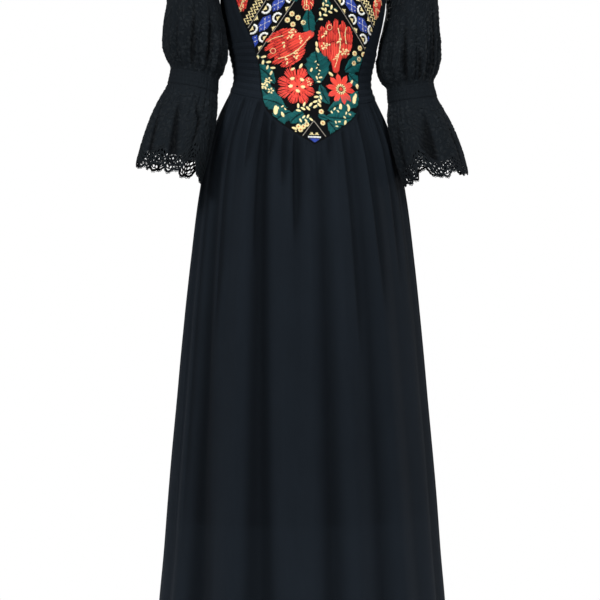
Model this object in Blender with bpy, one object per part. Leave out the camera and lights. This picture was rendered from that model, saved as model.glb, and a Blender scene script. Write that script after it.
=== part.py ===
"""A long black dress, filled out as it hangs when it is worn.

It has a pointed front panel, a shirred waist, puffed sleeves with shirred bands, flared cuffs edged
with scalloped lace, and a softly folded skirt over a shorter lining. Every piece of cloth is a thin
wall. Sizes are in metres. The front faces -Y, +Z is up, and the origin lies midway between the
shoulders. Right and left are the wearer's, so the right side is at -X. A drop is a distance below
the shoulder line, and a turn is an angle in degrees from the front centre towards +X.
"""

import bmesh
import bpy
import numpy as np

# Cloth and seams
CLOTH = 0.0015
SEAM_GAP = 0.0003
HEM_DROP = 1.42

# The body form: half width at the side, depth in front and behind, by drop from the shoulder line
BODY = {
    "drop": (-0.02, 0.0, 0.045, 0.10, 0.16, 0.24, 0.33, 0.39, 0.41, 0.43, 0.455, 0.51, 0.60,
             0.70, 0.79, 0.88, 0.97, 1.07, 1.16, 1.25, 1.34, 1.42),
    "half_width": (0.050, 0.090, 0.168, 0.162, 0.156, 0.153, 0.137, 0.1275, 0.134, 0.144, 0.156,
                   0.1755, 0.1925, 0.205, 0.215, 0.2235, 0.2315, 0.241, 0.2485, 0.2555, 0.264, 0.270),
    "front_depth": (0.020, 0.034, 0.068, 0.093, 0.110, 0.124, 0.102, 0.094, 0.096, 0.099, 0.103,
                    0.114, 0.131, 0.148, 0.160, 0.169, 0.178, 0.188, 0.197, 0.206, 0.214, 0.220),
    "back_depth": (0.022, 0.038, 0.074, 0.094, 0.100, 0.094, 0.087, 0.086, 0.092, 0.101, 0.112,
                   0.132, 0.153, 0.168, 0.178, 0.187, 0.195, 0.204, 0.212, 0.220, 0.227, 0.233),
}

# Neckline: a plain scoop that meets the shoulder seams at the neck points
NECK_HALF_WIDTH = 0.090
NECK_FRONT_DROP = 0.090
NECK_BACK_DROP = 0.030
NECK_BLEND_SHARE = 0.35
BINDING_RADIUS = 0.0025
BINDING_SIDES = 6
BINDING_NUDGE = 0.002

# Armhole: an upright oval on the body's side, sampled at the sleeve's own columns
SLEEVE_COLUMNS = 28
ARMHOLE_DROP = 0.121
ARMHOLE_HALF_HEIGHT = 0.076
ARMHOLE_HALF_DEPTH = 0.055
ARMHOLE_CLEARANCE = 0.0005
PANEL_ARMHOLE_COLUMNS = (0, 3, 5, 7, 9, 11)
SIDE_ARMHOLE_COLUMNS = (11, 12, 13, 14)
FRONT_ARMHOLE_COLUMNS = PANEL_ARMHOLE_COLUMNS + SIDE_ARMHOLE_COLUMNS[1:]
BACK_ARMHOLE_COLUMNS = (0, 3, 5, 7, 9, 11, 14)

# Front panel: its edge below the armhole, and the point that dips over the skirt
PRINCESS = {
    "drop": (0.218, 0.254, 0.290, 0.325, 0.360, 0.390, 0.411, 0.430),
    "turn": (67.0, 62.0, 56.0, 49.5, 47.0, 45.8, 42.5, 38.0),
}
SHOULDER_DROPS = (0.0, 0.0225)
POINT_DROP = 0.5096
POINT_HALF_TURN = 38.0
POINT_CORNER_DROP = 0.430
POINT_STRAIGHT_SHARE = 0.82
POINT_CORNER_POWER = 8
PANEL_COLUMNS = 22

# Shirred waist
SHIRRING_TOP_DROP = 0.325
SIDE_WAIST_DROP = 0.410
SHIRRING_RIBS = 8
SHIRRING_RIB_HEIGHT = 0.0016
SHIRRING_SIDE_COLUMNS = 5
SHIRRING_BACK_COLUMNS = 10

# Side fronts and back
SIDE_FRONT_COLUMNS = 9
SIDE_GATHERS = 4
SIDE_GATHER_HEIGHT = 0.0014
SIDE_GATHER_POWER = 0.5
BACK_COLUMNS = 14
BACK_SIDE_DROPS = (0.240, 0.2825, 0.325)

# Skirt folds: valleys in the front and back, each running from the waist to the hem
FOLDS = {
    "turn_top": (-79, -64, -50, -32, -20, -11, 4, 27, 44, 68,
                 96, 113, 128, 146, 160, 171, -176, -160, -143, -124, -106),
    "turn_hem": (-77, -55, -47, -26, -20, -9, 4, 26, 46, 66,
                 98, 111, 130, 143, 161, 175, -172, -157, -146, -121, -104),
    "depth_top": (0.001, 0.004, 0.004, 0.010, 0.006, 0.007, 0.005, 0.005, 0.002, 0.002,
                  0.002, 0.004, 0.007, 0.005, 0.009, 0.004, 0.006, 0.009, 0.004, 0.006, 0.003),
    "depth_middle": (0.003, 0.009, 0.004, 0.014, 0.001, 0.003, 0.009, 0.006, 0.003, 0.004,
                     0.003, 0.007, 0.012, 0.002, 0.013, 0.002, 0.008, 0.012, 0.003, 0.010, 0.004),
    "depth_hem": (0.005, 0.019, 0.002, 0.020, 0.000, 0.001, 0.013, 0.010, 0.005, 0.008,
                  0.004, 0.011, 0.018, 0.001, 0.019, 0.001, 0.013, 0.017, 0.002, 0.016, 0.006),
    "spread_top": (4.0, 4.5, 4.0, 4.5, 3.0, 3.0, 4.0, 5.0, 5.0, 5.0,
                   4.5, 4.5, 4.5, 3.5, 4.5, 3.0, 4.5, 4.5, 3.5, 4.5, 4.5),
    "spread_hem": (5.0, 7.5, 5.0, 6.5, 4.0, 4.0, 5.5, 6.5, 6.0, 6.5,
                   5.0, 6.0, 7.0, 4.5, 6.5, 4.0, 6.0, 6.5, 5.0, 7.0, 5.5),
}
FOLD_MIDDLE = 0.35
FOLD_START_LENGTH = 0.07
SKIRT_SIDE_COLUMNS = 12
SKIRT_BACK_COLUMNS = 32
SKIRT_ROWS = (0.0, 0.015, 0.04, 0.08, 0.14, 0.22, 0.32, 0.44, 0.58, 0.72, 0.86, 1.0)

# Lining: how far it hangs inside the body form
LINING = {
    "drop": (0.40, 0.43, 0.48, 0.55, 0.70, 0.94, 1.186),
    "inset": (0.0027, 0.004, 0.012, 0.020, 0.026, 0.034, 0.040),
}
LINING_COLUMNS = 10

# Left sleeve, as rings from the armhole down to the lace: each ring's outer and inner side seen from
# the front, how far its middle lies forward, its half depth, and the height of its gathers
SLEEVE = {
    "ring": (0, 1, 2, 3, 4, 5, 6, 7, 8, 9, 10, 11, 12, 13, 14, 15),
    "outer_out": (0.170, 0.205, 0.232, 0.244, 0.250, 0.2535, 0.257, 0.257, 0.251, 0.244,
                  0.250, 0.261, 0.277, 0.289, 0.2985, 0.304),
    "outer_drop": (0.045, 0.050, 0.090, 0.146, 0.203, 0.255, 0.297, 0.332, 0.358, 0.378,
                   0.4055, 0.428, 0.458, 0.489, 0.520, 0.548),
    "inner_out": (0.156, 0.163, 0.163, 0.157, 0.150, 0.145, 0.1425, 0.145, 0.1505, 0.158,
                  0.160, 0.161, 0.164, 0.171, 0.180, 0.1905),
    "inner_drop": (0.198, 0.222, 0.250, 0.275, 0.300, 0.322, 0.343, 0.362, 0.381, 0.3945,
                   0.4205, 0.444, 0.475, 0.507, 0.541, 0.5715),
    "forward": (0.0, 0.0, 0.002, 0.005, 0.009, 0.013, 0.018, 0.022, 0.026, 0.030,
                0.033, 0.039, 0.048, 0.058, 0.067, 0.075),
    "half_depth": (0.055, 0.063, 0.066, 0.067, 0.067, 0.066, 0.064, 0.059, 0.051, 0.042,
                   0.044, 0.050, 0.055, 0.057, 0.057, 0.058),
    "swing": (0.0, 0.0, 0.0, 0.0, 0.0, 0.0, 0.001, 0.002, 0.003, 0.004,
              0.004, 0.005, 0.006, 0.007, 0.008, 0.009),
    "gather": (0.0, 0.0028, 0.0016, 0.0, 0.0, 0.0008, 0.0018, 0.0026, 0.0022, 0.0004,
               0.0, 0.0, 0.0, 0.0, 0.0, 0.0),
}
SLEEVE_GATHERS = 14
BAND_RINGS = (9, 10)
BAND_RIBS = 4
BAND_RIB_HEIGHT = 0.0016
BAND_COLUMNS = 20
FLOUNCE_RINGS = (10, 14)
FLOUNCE_ROWS = 5
FLOUNCE_COLUMNS = 40
RING_GAP = 0.006
LACE_GAP_TURN = 0.18

# Soft folds of the sleeves, side 1 the left and -1 the right: each runs between two turns, starts at
# one ring, is deepest at another and ends at the last
SLEEVE_FOLDS = {
    "side": (1, 1, 1, 1, 1, 1, 1, 1, 1, 1, 1, 1, 1, 1, 1,
             -1, -1, -1, -1, -1, -1, -1, -1, -1, -1, -1, -1, -1, -1, -1),
    "turn_start": (112, 88, 52, 20, -35, -80, -125, 175, 83, 41, 143, -10, -60, -112, -160,
                   107, 72, 44, 140, -30, -75, -120, 178, 56, 86, 129, 20, -25, -75, -125),
    "turn_end": (110, 80, 52, 22, -38, -84, -120, 172, 98, 41, 150, -15, -66, -118, -168,
                 107, 75, 44, 136, -34, -80, -124, 174, 82, 112, 160, 38, -20, -70, -130),
    "ring_start": (3, 5, 3, 5, 3, 4, 3, 5, 10, 10, 10, 10, 10, 10, 10,
                   3, 3, 4, 5, 3, 4, 3, 5, 10, 10, 10, 10, 10, 10, 10),
    "ring_deep": (7, 8, 7, 7.5, 7, 7.5, 7, 7.5, 14.5, 13, 14, 15, 15, 15, 14,
                  7, 7, 7.5, 7.5, 7, 7.5, 7, 7.5, 14.5, 12.5, 14, 14, 15, 15, 15),
    "ring_end": (9.3, 9.3, 9.3, 9.3, 9.3, 9.3, 9.3, 9.3, 19, 17, 19, 19, 19, 19, 19,
                 9.3, 9.3, 9.3, 9.3, 9.3, 9.3, 9.3, 9.3, 19, 16, 19, 19, 19, 19, 19),
    "depth": (0.005, 0.005, 0.005, 0.003, 0.005, 0.004, 0.005, 0.003,
              0.009, 0.004, 0.004, 0.006, 0.008, 0.007, 0.005,
              0.004, 0.006, 0.003, 0.003, 0.005, 0.004, 0.004, 0.003,
              0.009, 0.005, 0.004, 0.005, 0.006, 0.009, 0.006),
    "spread": (11, 9, 11, 10, 12, 11, 12, 10, 15, 11, 12, 16, 16, 15, 14,
               11, 11, 10, 10, 12, 11, 12, 10, 13, 11, 12, 13, 15, 16, 15),
}

# The cuff's hem rises between its points: where, how many rings high and how wide
CUFF_NOTCHES = {
    "turn": (118, 63, 6, -45, -97, -150),
    "rise": (0.95, 0.38, 0.5, 0.6, 0.8, 0.6),
    "spread": (17, 12, 15, 16, 18, 16),
}
CUFF_RISE_RINGS = (11.0, 14.0)

# Lace edging: scallops round a cuff, each with two eyelets between bars
SCALLOPS = 20
SCALLOP_COLUMNS = (0.0, 0.2, 0.5, 0.7)
LACE_RINGS = (14.0, 14.22, 14.47, 14.72)
SCALLOP_RINGS = 0.2
EYELET_COLUMNS = (1, 3)
EYELET_ROW = 1

# The stance: the wearer's left hangs a little lower round the waist
LEAN = 0.03
LEAN_DROPS = (0.05, 0.35, 0.42, 0.62)

# How far to each side a surface's slope is measured: in degrees of turn, in drop, and in sleeve rings
TURN_NUDGE = 0.02
DROP_NUDGE = 0.0001
RING_NUDGE = 0.001
SEAM_TURN_NUDGE = 0.5
SHARP_ANGLE = 50

FINISHES = {
    "crepe": ((0.012, 0.014, 0.019), 0.72),
    "worked": ((0.014, 0.016, 0.021), 0.80),
    "lace": ((0.016, 0.018, 0.023), 0.78),
    "panel": ((0.010, 0.010, 0.012), 0.75),
    "lining": ((0.010, 0.012, 0.016), 0.60),
}


def smooth(table, column, at):
    """A column's value at a place along the table's first column, with no corner at its rows."""
    rows = np.array(next(iter(table.values())), float)
    values = np.array(table[column], float)
    step = np.diff(values) / np.diff(rows)
    slope = np.concatenate([step[:1], (step[:-1] + step[1:]) / 2, step[-1:]])
    at = np.clip(at, rows[0], rows[-1])
    left = np.clip(np.searchsorted(rows, at, side="right") - 1, 0, len(rows) - 2)
    width = rows[left + 1] - rows[left]
    t = (at - rows[left]) / width
    ends = values[left] * (1 + 2 * t) * (1 - t) ** 2 + values[left + 1] * t * t * (3 - 2 * t)
    return ends + width * t * (1 - t) * (slope[left] * (1 - t) - slope[left + 1] * t)


def ease(at):
    """Rises from 0 to 1 with no corner at either end."""
    at = np.clip(at, 0.0, 1.0)
    return at * at * (3 - 2 * at)


def blend(start, end, share):
    return start + (end - start) * share


def aside(turn, centre):
    """How far a turn lies from a centre, the short way round."""
    return (turn - centre + 180) % 360 - 180


def body(turn, drop):
    """A point of the body form."""
    angle = np.radians(turn)
    width = smooth(BODY, "half_width", drop)
    front = smooth(BODY, "front_depth", drop)
    depth = np.where(np.cos(angle) > 0, front, smooth(BODY, "back_depth", drop))
    x, y, z = np.broadcast_arrays(width * np.sin(angle), -depth * np.cos(angle), -drop)
    return np.stack([x, y, z], axis=-1)


def across(surface, u, v, v_nudge=DROP_NUDGE):
    """The unit vector square to a surface, from its slopes both ways."""
    along_u = surface(u + TURN_NUDGE, v) - surface(u - TURN_NUDGE, v)
    along_v = surface(u, v - v_nudge) - surface(u, v + v_nudge)
    normal = np.cross(along_u, along_v)
    return normal / np.linalg.norm(normal, axis=-1, keepdims=True)


def lean(points):
    """Tips the waist a little towards the wearer's left."""
    start, full, ending, end = LEAN_DROPS
    drop = -points[..., 2]
    share = ease((drop - start) / (full - start)) * ease((end - drop) / (end - ending))
    tipped = points.copy()
    tipped[..., 2] -= LEAN * points[..., 0] * share
    return tipped


def waist_drop(turn):
    """The waist seam: level behind, lower in front, and dipping to the panel's point."""
    turn = np.abs((np.asarray(turn, float) + 180) % 360 - 180)
    share = np.minimum(turn / POINT_HALF_TURN, 1.0)
    rise = POINT_STRAIGHT_SHARE * share + (1 - POINT_STRAIGHT_SHARE) * share**POINT_CORNER_POWER
    point = blend(POINT_DROP, POINT_CORNER_DROP, rise)
    side_share = np.clip((turn - POINT_HALF_TURN) / (90 - POINT_HALF_TURN), 0.0, 1.0)
    beyond = blend(POINT_CORNER_DROP, SIDE_WAIST_DROP, side_share)
    return np.where(turn < POINT_HALF_TURN, point, beyond)


def waist_gap(turn):
    """Half the gap at the waist seam, measured straight down, wider where the seam runs steeply."""
    before, after = turn - SEAM_TURN_NUDGE, turn + SEAM_TURN_NUDGE
    run = np.linalg.norm(body(after, waist_drop(turn)) - body(before, waist_drop(turn)), axis=-1)
    slope = (waist_drop(after) - waist_drop(before)) / run
    return SEAM_GAP / 2 * np.sqrt(1 + slope**2)


def neckline(round_turn):
    """Turn and drop of a neckline point; round_turn runs round the neck hole from its front."""
    angle = np.radians(round_turn)
    lowest = np.where(np.cos(angle) > 0, NECK_FRONT_DROP, NECK_BACK_DROP)
    drop = lowest * np.cos(angle) ** 2
    share = NECK_HALF_WIDTH * np.sin(angle) / smooth(BODY, "half_width", drop)
    turn = np.degrees(np.arcsin(np.clip(share, -1.0, 1.0)))
    return np.where(np.cos(angle) < 0, 180 - turn, turn), drop


def below_neckline(s, edge, share, bottom, behind=False):
    """Turn and drop of a grid that starts at the neckline and widens to the given edge and bottom."""
    top_turn, top_drop = neckline(180 - s * 90.0 if behind else s * 90.0)
    top_turn = 180 - top_turn if behind else top_turn
    across_share = blend(top_turn / 90.0, s, ease(share / NECK_BLEND_SHARE))
    turn = across_share * edge
    return 180 - turn if behind else turn, blend(top_drop, bottom, share)


def armhole(column, columns, behind=False):
    """Turn from the front or back centre, and drop, of the armhole between the given columns."""
    angle = np.radians(np.array(columns) * 360 / SLEEVE_COLUMNS)
    drop = np.interp(column, columns, ARMHOLE_DROP - ARMHOLE_HALF_HEIGHT * np.cos(angle))
    depth = np.interp(column, columns, ARMHOLE_HALF_DEPTH * np.sin(angle))
    whole = smooth(BODY, "back_depth" if behind else "front_depth", drop)
    return np.degrees(np.arccos(np.clip(depth / whole, 0.0, 1.0))), drop


def make_wall(name, outer, inner, finish, wrap=False, holes=None):
    """Closes the space between two grids of points into one solid, with any holes cut through.

    Both walls of a cell are split along the same diagonal, the outer wall's shorter one.
    """
    columns, rows = outer.shape[:2]
    spans = columns if wrap else columns - 1
    solid = np.ones((spans, rows - 1), bool) if holes is None else ~holes
    behind = columns * rows
    flat = outer.reshape(-1, 3)
    faces = []
    for i, j in zip(*np.nonzero(solid)):
        after = (i + 1) % columns
        corners = [i * rows + j, after * rows + j, after * rows + j + 1, i * rows + j + 1]
        first, second = (np.linalg.norm(flat[corners[k]] - flat[corners[k + 2]]) for k in (0, 1))
        a, b, c, d = corners if first <= second else corners[1:] + corners[:1]
        faces += [[a, b, c], [a, c, d]]
        faces += [[behind + c, behind + b, behind + a], [behind + d, behind + c, behind + a]]
        for side, (column, row) in enumerate([(i, j - 1), (i + 1, j), (i, j + 1), (i - 1, j)]):
            column = column % spans if wrap else column
            if 0 <= column < spans and 0 <= row < rows - 1 and solid[column, row]:
                continue
            start, end = corners[side], corners[(side + 1) % 4]
            faces.append([end, start, behind + start, behind + end])
    points = np.concatenate([lean(outer).reshape(-1, 3), lean(inner).reshape(-1, 3)])
    return make_object(name, points, faces, finish)


def make_object(name, points, faces, finish):
    """One solid with its own material, its faces pointing out."""
    mesh = bpy.data.meshes.new(name)
    mesh.from_pydata(points.tolist(), [], [[int(corner) for corner in face] for face in faces])
    cleaned = bmesh.new()
    cleaned.from_mesh(mesh)
    bmesh.ops.recalc_face_normals(cleaned, faces=cleaned.faces)
    cleaned.to_mesh(mesh)
    cleaned.free()
    mesh.shade_smooth()
    mesh.set_sharp_from_angle(angle=np.radians(SHARP_ANGLE))
    mesh.materials.append(make_material(name, finish))
    made = bpy.data.objects.new(name, mesh)
    bpy.context.scene.collection.objects.link(made)
    return made


def make_material(name, finish):
    colour, roughness = FINISHES[finish]
    material = bpy.data.materials.new(name)
    material.use_nodes = True
    shader = material.node_tree.nodes["Principled BSDF"]
    shader.inputs["Base Color"].default_value = (*colour, 1.0)
    shader.inputs["Roughness"].default_value = roughness
    shader.inputs["Metallic"].default_value = 0.0
    return material


def raise_wall(surface, u, v, height=0.0, v_nudge=DROP_NUDGE):
    """Outer points raised by a height, and plain inner points one cloth's thickness inside."""
    base = surface(u, v)
    normal = across(surface, u, v, v_nudge)
    heights = np.broadcast_to(height, base.shape[:-1])
    return base + normal * heights[..., None], base - normal * CLOTH


def beside_seam(grids, back=False):
    """Moves a front or back piece off the side and shoulder seams by half the seam gap."""
    shift = np.array([0.0, SEAM_GAP / 2 if back else -SEAM_GAP / 2, 0.0])
    return [grid + shift for grid in grids]


def panel_edge():
    """Drops and turns down the front panel's edge: shoulder seam, armhole, princess seam."""
    turns, drops = armhole(PANEL_ARMHOLE_COLUMNS, FRONT_ARMHOLE_COLUMNS)
    drops = np.concatenate([SHOULDER_DROPS, drops, PRINCESS["drop"]])
    turns = np.concatenate([np.full(len(SHOULDER_DROPS), 90.0), turns, PRINCESS["turn"]])
    return drops, turns


def seam_turn(drop):
    """Half the princess seam's gap as a turn."""
    return np.degrees(SEAM_GAP / 2 / smooth(BODY, "half_width", drop))


def make_front_panel():
    drops, turns = panel_edge()
    s = np.linspace(-1.0, 1.0, PANEL_COLUMNS + 1)[:, None]
    on_seam = drops > ARMHOLE_DROP
    edge = np.where(on_seam, turns - seam_turn(drops), turns)
    share = drops / drops[-1]
    bottom = waist_drop(s * POINT_HALF_TURN) - waist_gap(s * POINT_HALF_TURN)
    turn, drop = below_neckline(s, edge, share, bottom)
    outer, inner = beside_seam(raise_wall(body, turn, drop))
    make_wall("bodice_front_panel", outer, inner, "panel")


def make_side_front(name, side):
    """From the princess seam to the side seam, gathered upright, under the armhole."""
    s = np.linspace(0.0, 1.0, SIDE_FRONT_COLUMNS + 1)[:, None]
    first, last = SIDE_ARMHOLE_COLUMNS[0], SIDE_ARMHOLE_COLUMNS[-1]
    top_turn, top_drop = armhole(blend(first, last, s), SIDE_ARMHOLE_COLUMNS)
    count = PRINCESS["drop"].index(SHIRRING_TOP_DROP) + 1
    edge_drop = np.concatenate([top_drop[0], PRINCESS["drop"][:count]])
    edge_turn = np.concatenate([top_turn[0], PRINCESS["turn"][:count]])
    w = (edge_drop - edge_drop[0]) / (edge_drop[-1] - edge_drop[0])
    edge_turn = edge_turn + seam_turn(edge_drop)
    q = blend((top_turn - top_turn[0]) / (90 - top_turn[0]), s, w)
    turn = blend(edge_turn, 90.0, q)
    drop = blend(top_drop, SHIRRING_TOP_DROP - SEAM_GAP / 2, w)
    gather = np.sin(np.pi * s * SIDE_GATHERS) ** 2 * np.sin(np.pi * w) ** SIDE_GATHER_POWER
    outer, inner = beside_seam(raise_wall(body, turn, drop, SIDE_GATHER_HEIGHT * gather))
    mirror = np.array([side, 1, 1])
    make_wall(name, outer * mirror, inner * mirror, "crepe")


def make_front_shirring(name, side):
    """The ribbed waist between the panel's edge and the side seam."""
    s = np.linspace(0.0, 1.0, SHIRRING_SIDE_COLUMNS + 1)[:, None]
    v = np.linspace(0.0, 1.0, 2 * SHIRRING_RIBS + 1)
    edge_drop = blend(SHIRRING_TOP_DROP, POINT_CORNER_DROP, v)
    edge = np.interp(edge_drop, PRINCESS["drop"], PRINCESS["turn"]) + seam_turn(edge_drop)
    turn = blend(edge, 90.0, s)
    bottom_turn = turn[:, -1:]
    bottom = waist_drop(bottom_turn) - waist_gap(bottom_turn)
    drop = blend(SHIRRING_TOP_DROP + SEAM_GAP / 2, bottom, v)
    rib = SHIRRING_RIB_HEIGHT * np.sin(np.pi * v * SHIRRING_RIBS) ** 2 + 0 * s
    outer, inner = beside_seam(raise_wall(body, turn, drop, rib))
    corners = body(np.array(PRINCESS["turn"]), np.array(PRINCESS["drop"]))
    straight = [np.interp(edge_drop, PRINCESS["drop"], corners[:, axis]) for axis in range(3)]
    straight = np.stack(straight, axis=-1)
    curved = body(np.interp(edge_drop, PRINCESS["drop"], PRINCESS["turn"]), edge_drop)
    beside_panel = (1 - s)[..., None] * (straight - curved)
    mirror = np.array([side, 1, 1])
    make_wall(name, (outer + beside_panel) * mirror, (inner + beside_panel) * mirror, "crepe")


def make_back_shirring():
    s = np.linspace(-1.0, 1.0, SHIRRING_BACK_COLUMNS + 1)[:, None]
    v = np.linspace(0.0, 1.0, 2 * SHIRRING_RIBS + 1)
    turn = 180 - s * 90.0 + 0 * v
    bottom = waist_drop(180 - s * 90.0) - SEAM_GAP / 2
    drop = blend(SHIRRING_TOP_DROP + SEAM_GAP / 2, bottom, v)
    rib = SHIRRING_RIB_HEIGHT * np.sin(np.pi * v * SHIRRING_RIBS) ** 2 + 0 * s
    outer, inner = beside_seam(raise_wall(body, turn, drop, rib), back=True)
    make_wall("waist_shirring_back", outer, inner, "crepe")


def make_back():
    """Neckline, shoulder seams, armholes and side seams, down to the shirred waist."""
    s = np.linspace(-1.0, 1.0, BACK_COLUMNS + 1)[:, None]
    turns, drops = armhole(BACK_ARMHOLE_COLUMNS, BACK_ARMHOLE_COLUMNS, behind=True)
    drops = np.concatenate([SHOULDER_DROPS, drops, BACK_SIDE_DROPS])
    plain = np.full(len(BACK_SIDE_DROPS), 90.0)
    edge = np.concatenate([np.full(len(SHOULDER_DROPS), 90.0), turns, plain])
    share = drops / drops[-1]
    turn, drop = below_neckline(s, edge, share, SHIRRING_TOP_DROP - SEAM_GAP / 2, behind=True)
    outer, inner = beside_seam(raise_wall(body, turn, drop), back=True)
    make_wall("bodice_back", outer, inner, "crepe")


def make_neck_binding():
    """A thin roll along the neckline, resting on the cloth's edge and bent at the same places."""
    front = np.linspace(-90.0, 90.0, PANEL_COLUMNS + 1)
    back = np.linspace(90.0, 270.0, BACK_COLUMNS + 1)[1:-1]
    turn, drop = neckline(np.concatenate([front, back]))
    steps = len(turn)
    edge = body(turn, drop)
    normal = across(body, turn, drop)
    up = body(turn, drop - BINDING_NUDGE) - edge
    up /= np.linalg.norm(up, axis=-1, keepdims=True)
    centre = edge + up * (BINDING_RADIUS + SEAM_GAP) - normal * CLOTH / 2
    around = np.radians(np.arange(BINDING_SIDES) * 360 / BINDING_SIDES)[None, :, None]
    ring = np.cos(around) * up[:, None] + np.sin(around) * normal[:, None]
    points = lean(centre[:, None] + BINDING_RADIUS * ring).reshape(-1, 3)
    faces = []
    for i in range(steps):
        here, there = i * BINDING_SIDES, (i + 1) % steps * BINDING_SIDES
        for j in range(BINDING_SIDES):
            k = (j + 1) % BINDING_SIDES
            faces.append([here + j, there + j, there + k, here + k])
    make_object("neck_binding", points, faces, "crepe")


def fold_depth(turn, drop):
    """How far the skirt's cloth is drawn in by its folds."""
    share = np.clip((drop - SIDE_WAIST_DROP) / (HEM_DROP - SIDE_WAIST_DROP), 0.0, 1.0)
    total = 0.0
    for row in zip(*FOLDS.values()):
        turn_top, turn_hem, top, middle, hem, spread_top, spread_hem = row
        away = aside(turn, blend(turn_top, turn_hem, share))
        spread = blend(spread_top, spread_hem, share)
        depth = np.interp(share, (0.0, FOLD_MIDDLE, 1.0), (top, middle, hem))
        total = total + depth * np.exp(-((away / spread) ** 2))
    return total * ease((drop - waist_drop(turn)) / FOLD_START_LENGTH)


def skirt(turn, drop):
    """The body form drawn in by the folds, level with the ground."""
    angle = np.radians(turn)
    width = smooth(BODY, "half_width", drop)
    front = smooth(BODY, "front_depth", drop)
    depth = np.where(np.cos(angle) > 0, front, smooth(BODY, "back_depth", drop))
    out_x, out_y = np.sin(angle) / width, -np.cos(angle) / depth
    size = np.hypot(out_x, out_y)
    folded = fold_depth(turn, drop)
    flat = np.stack(np.broadcast_arrays(out_x / size, out_y / size, 0.0), axis=-1)
    return body(turn, drop) - flat * folded[..., None]


def make_skirt_front():
    middle = np.linspace(-POINT_HALF_TURN, POINT_HALF_TURN, PANEL_COLUMNS + 1)
    side = np.linspace(POINT_HALF_TURN, 90.0, SKIRT_SIDE_COLUMNS + 1)[1:]
    turn = np.concatenate([-side[::-1], middle, side])[:, None]
    top = waist_drop(turn) + waist_gap(turn)
    drop = blend(top, HEM_DROP, np.array(SKIRT_ROWS))
    outer, inner = beside_seam(raise_wall(skirt, turn + 0 * drop, drop))
    make_wall("skirt_front", outer, inner, "crepe")


def make_skirt_back():
    turn = np.linspace(90.0, 270.0, SKIRT_BACK_COLUMNS + 1)[:, None]
    drop = blend(waist_drop(turn) + SEAM_GAP / 2, HEM_DROP, np.array(SKIRT_ROWS))
    outer, inner = beside_seam(raise_wall(skirt, turn + 0 * drop, drop), back=True)
    make_wall("skirt_back", outer, inner, "crepe")


def make_lining(name, start, back):
    """A plain front or back inside the skirt, ending above its hem."""
    turn = np.linspace(start, start + 180.0, LINING_COLUMNS + 1)[:, None]
    drop = np.array(LINING["drop"]) + 0 * turn
    normal = across(body, turn + 0 * drop, drop)
    outer = body(turn + 0 * drop, drop) - normal * np.array(LINING["inset"])[None, :, None]
    outer, inner = beside_seam([outer, outer - normal * CLOTH], back)
    make_wall(name, outer, inner, "lining")


def sleeve_folds(turn, ring, side):
    """How far a sleeve's cloth is drawn in by its folds."""
    total = 0.0
    for row in zip(*SLEEVE_FOLDS.values()):
        of_side, turn_start, turn_end, start, deep, end, depth, spread = row
        if of_side != side:
            continue
        share = np.clip((ring - start) / (deep - start), 0.0, 1.0)
        shape = np.exp(-((aside(turn, blend(turn_start, turn_end, share)) / spread) ** 2))
        total = total + depth * ease(share) * ease((end - ring) / (end - deep)) * shape
    return total


def cuff_rise(turn, ring):
    """How many rings the cuff's hem rises, straight between the flounce's columns."""
    columns = np.linspace(0.0, 360.0, FLOUNCE_COLUMNS + 1)
    total = 0.0
    for centre, rise, spread in zip(*CUFF_NOTCHES.values()):
        total = total + rise * np.exp(-((aside(columns, centre) / spread) ** 2))
    start, full = CUFF_RISE_RINGS
    return np.interp(np.mod(turn, 360), columns, total) * ease((ring - start) / (full - start))


def sleeve(turn, ring, side):
    """A point of a sleeve, both made as the left one: turn 0 is its outer side and 90 its front."""
    angle = np.radians(turn)
    drawn = sleeve_folds(turn, ring, side)
    ring = ring - cuff_rise(turn, ring)
    outer_out, inner_out = smooth(SLEEVE, "outer_out", ring), smooth(SLEEVE, "inner_out", ring)
    outer_drop, inner_drop = smooth(SLEEVE, "outer_drop", ring), smooth(SLEEVE, "inner_drop", ring)
    wave = smooth(SLEEVE, "gather", ring) * np.cos(SLEEVE_GATHERS * angle)
    reach = np.hypot(outer_out - inner_out, outer_drop - inner_drop) / 2
    grown = 1 + (wave - drawn) / reach
    x = (outer_out + inner_out) / 2 + (outer_out - inner_out) / 2 * np.cos(angle) * grown
    x = x - side * smooth(SLEEVE, "swing", ring)
    drop = (outer_drop + inner_drop) / 2 + (outer_drop - inner_drop) / 2 * np.cos(angle) * grown
    y = -smooth(SLEEVE, "forward", ring) - smooth(SLEEVE, "half_depth", ring) * np.sin(angle) * grown
    return np.stack([x, y, -drop], axis=-1)


def set_sleeve(turn, ring, side):
    """The sleeve, with its first ring drawn onto the armhole."""
    to_armhole = sleeve_start(turn) - sleeve(turn, 0.0, side)
    fade = np.clip(1 - ring, 0.0, 1.0) ** 2
    return sleeve(turn, ring, side) + to_armhole * fade[..., None]


def sleeve_start(turn):
    """The sleeve's first ring: the armhole's edge, straight between its corners, set further out."""
    behind = SLEEVE_COLUMNS - np.array(BACK_ARMHOLE_COLUMNS)
    columns = np.concatenate([FRONT_ARMHOLE_COLUMNS, behind[::-1]])
    front_turn, front_drop = armhole(FRONT_ARMHOLE_COLUMNS, FRONT_ARMHOLE_COLUMNS)
    back_turn, back_drop = armhole(BACK_ARMHOLE_COLUMNS, BACK_ARMHOLE_COLUMNS, behind=True)
    corners = np.concatenate([body(front_turn, front_drop), body(180 - back_turn, back_drop)[::-1]])
    column = np.mod(turn, 360) / 360 * SLEEVE_COLUMNS
    start = np.stack([np.interp(column, columns, corners[:, axis]) for axis in range(3)], axis=-1)
    return start + np.array([ARMHOLE_CLEARANCE, 0.0, 0.0])


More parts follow.
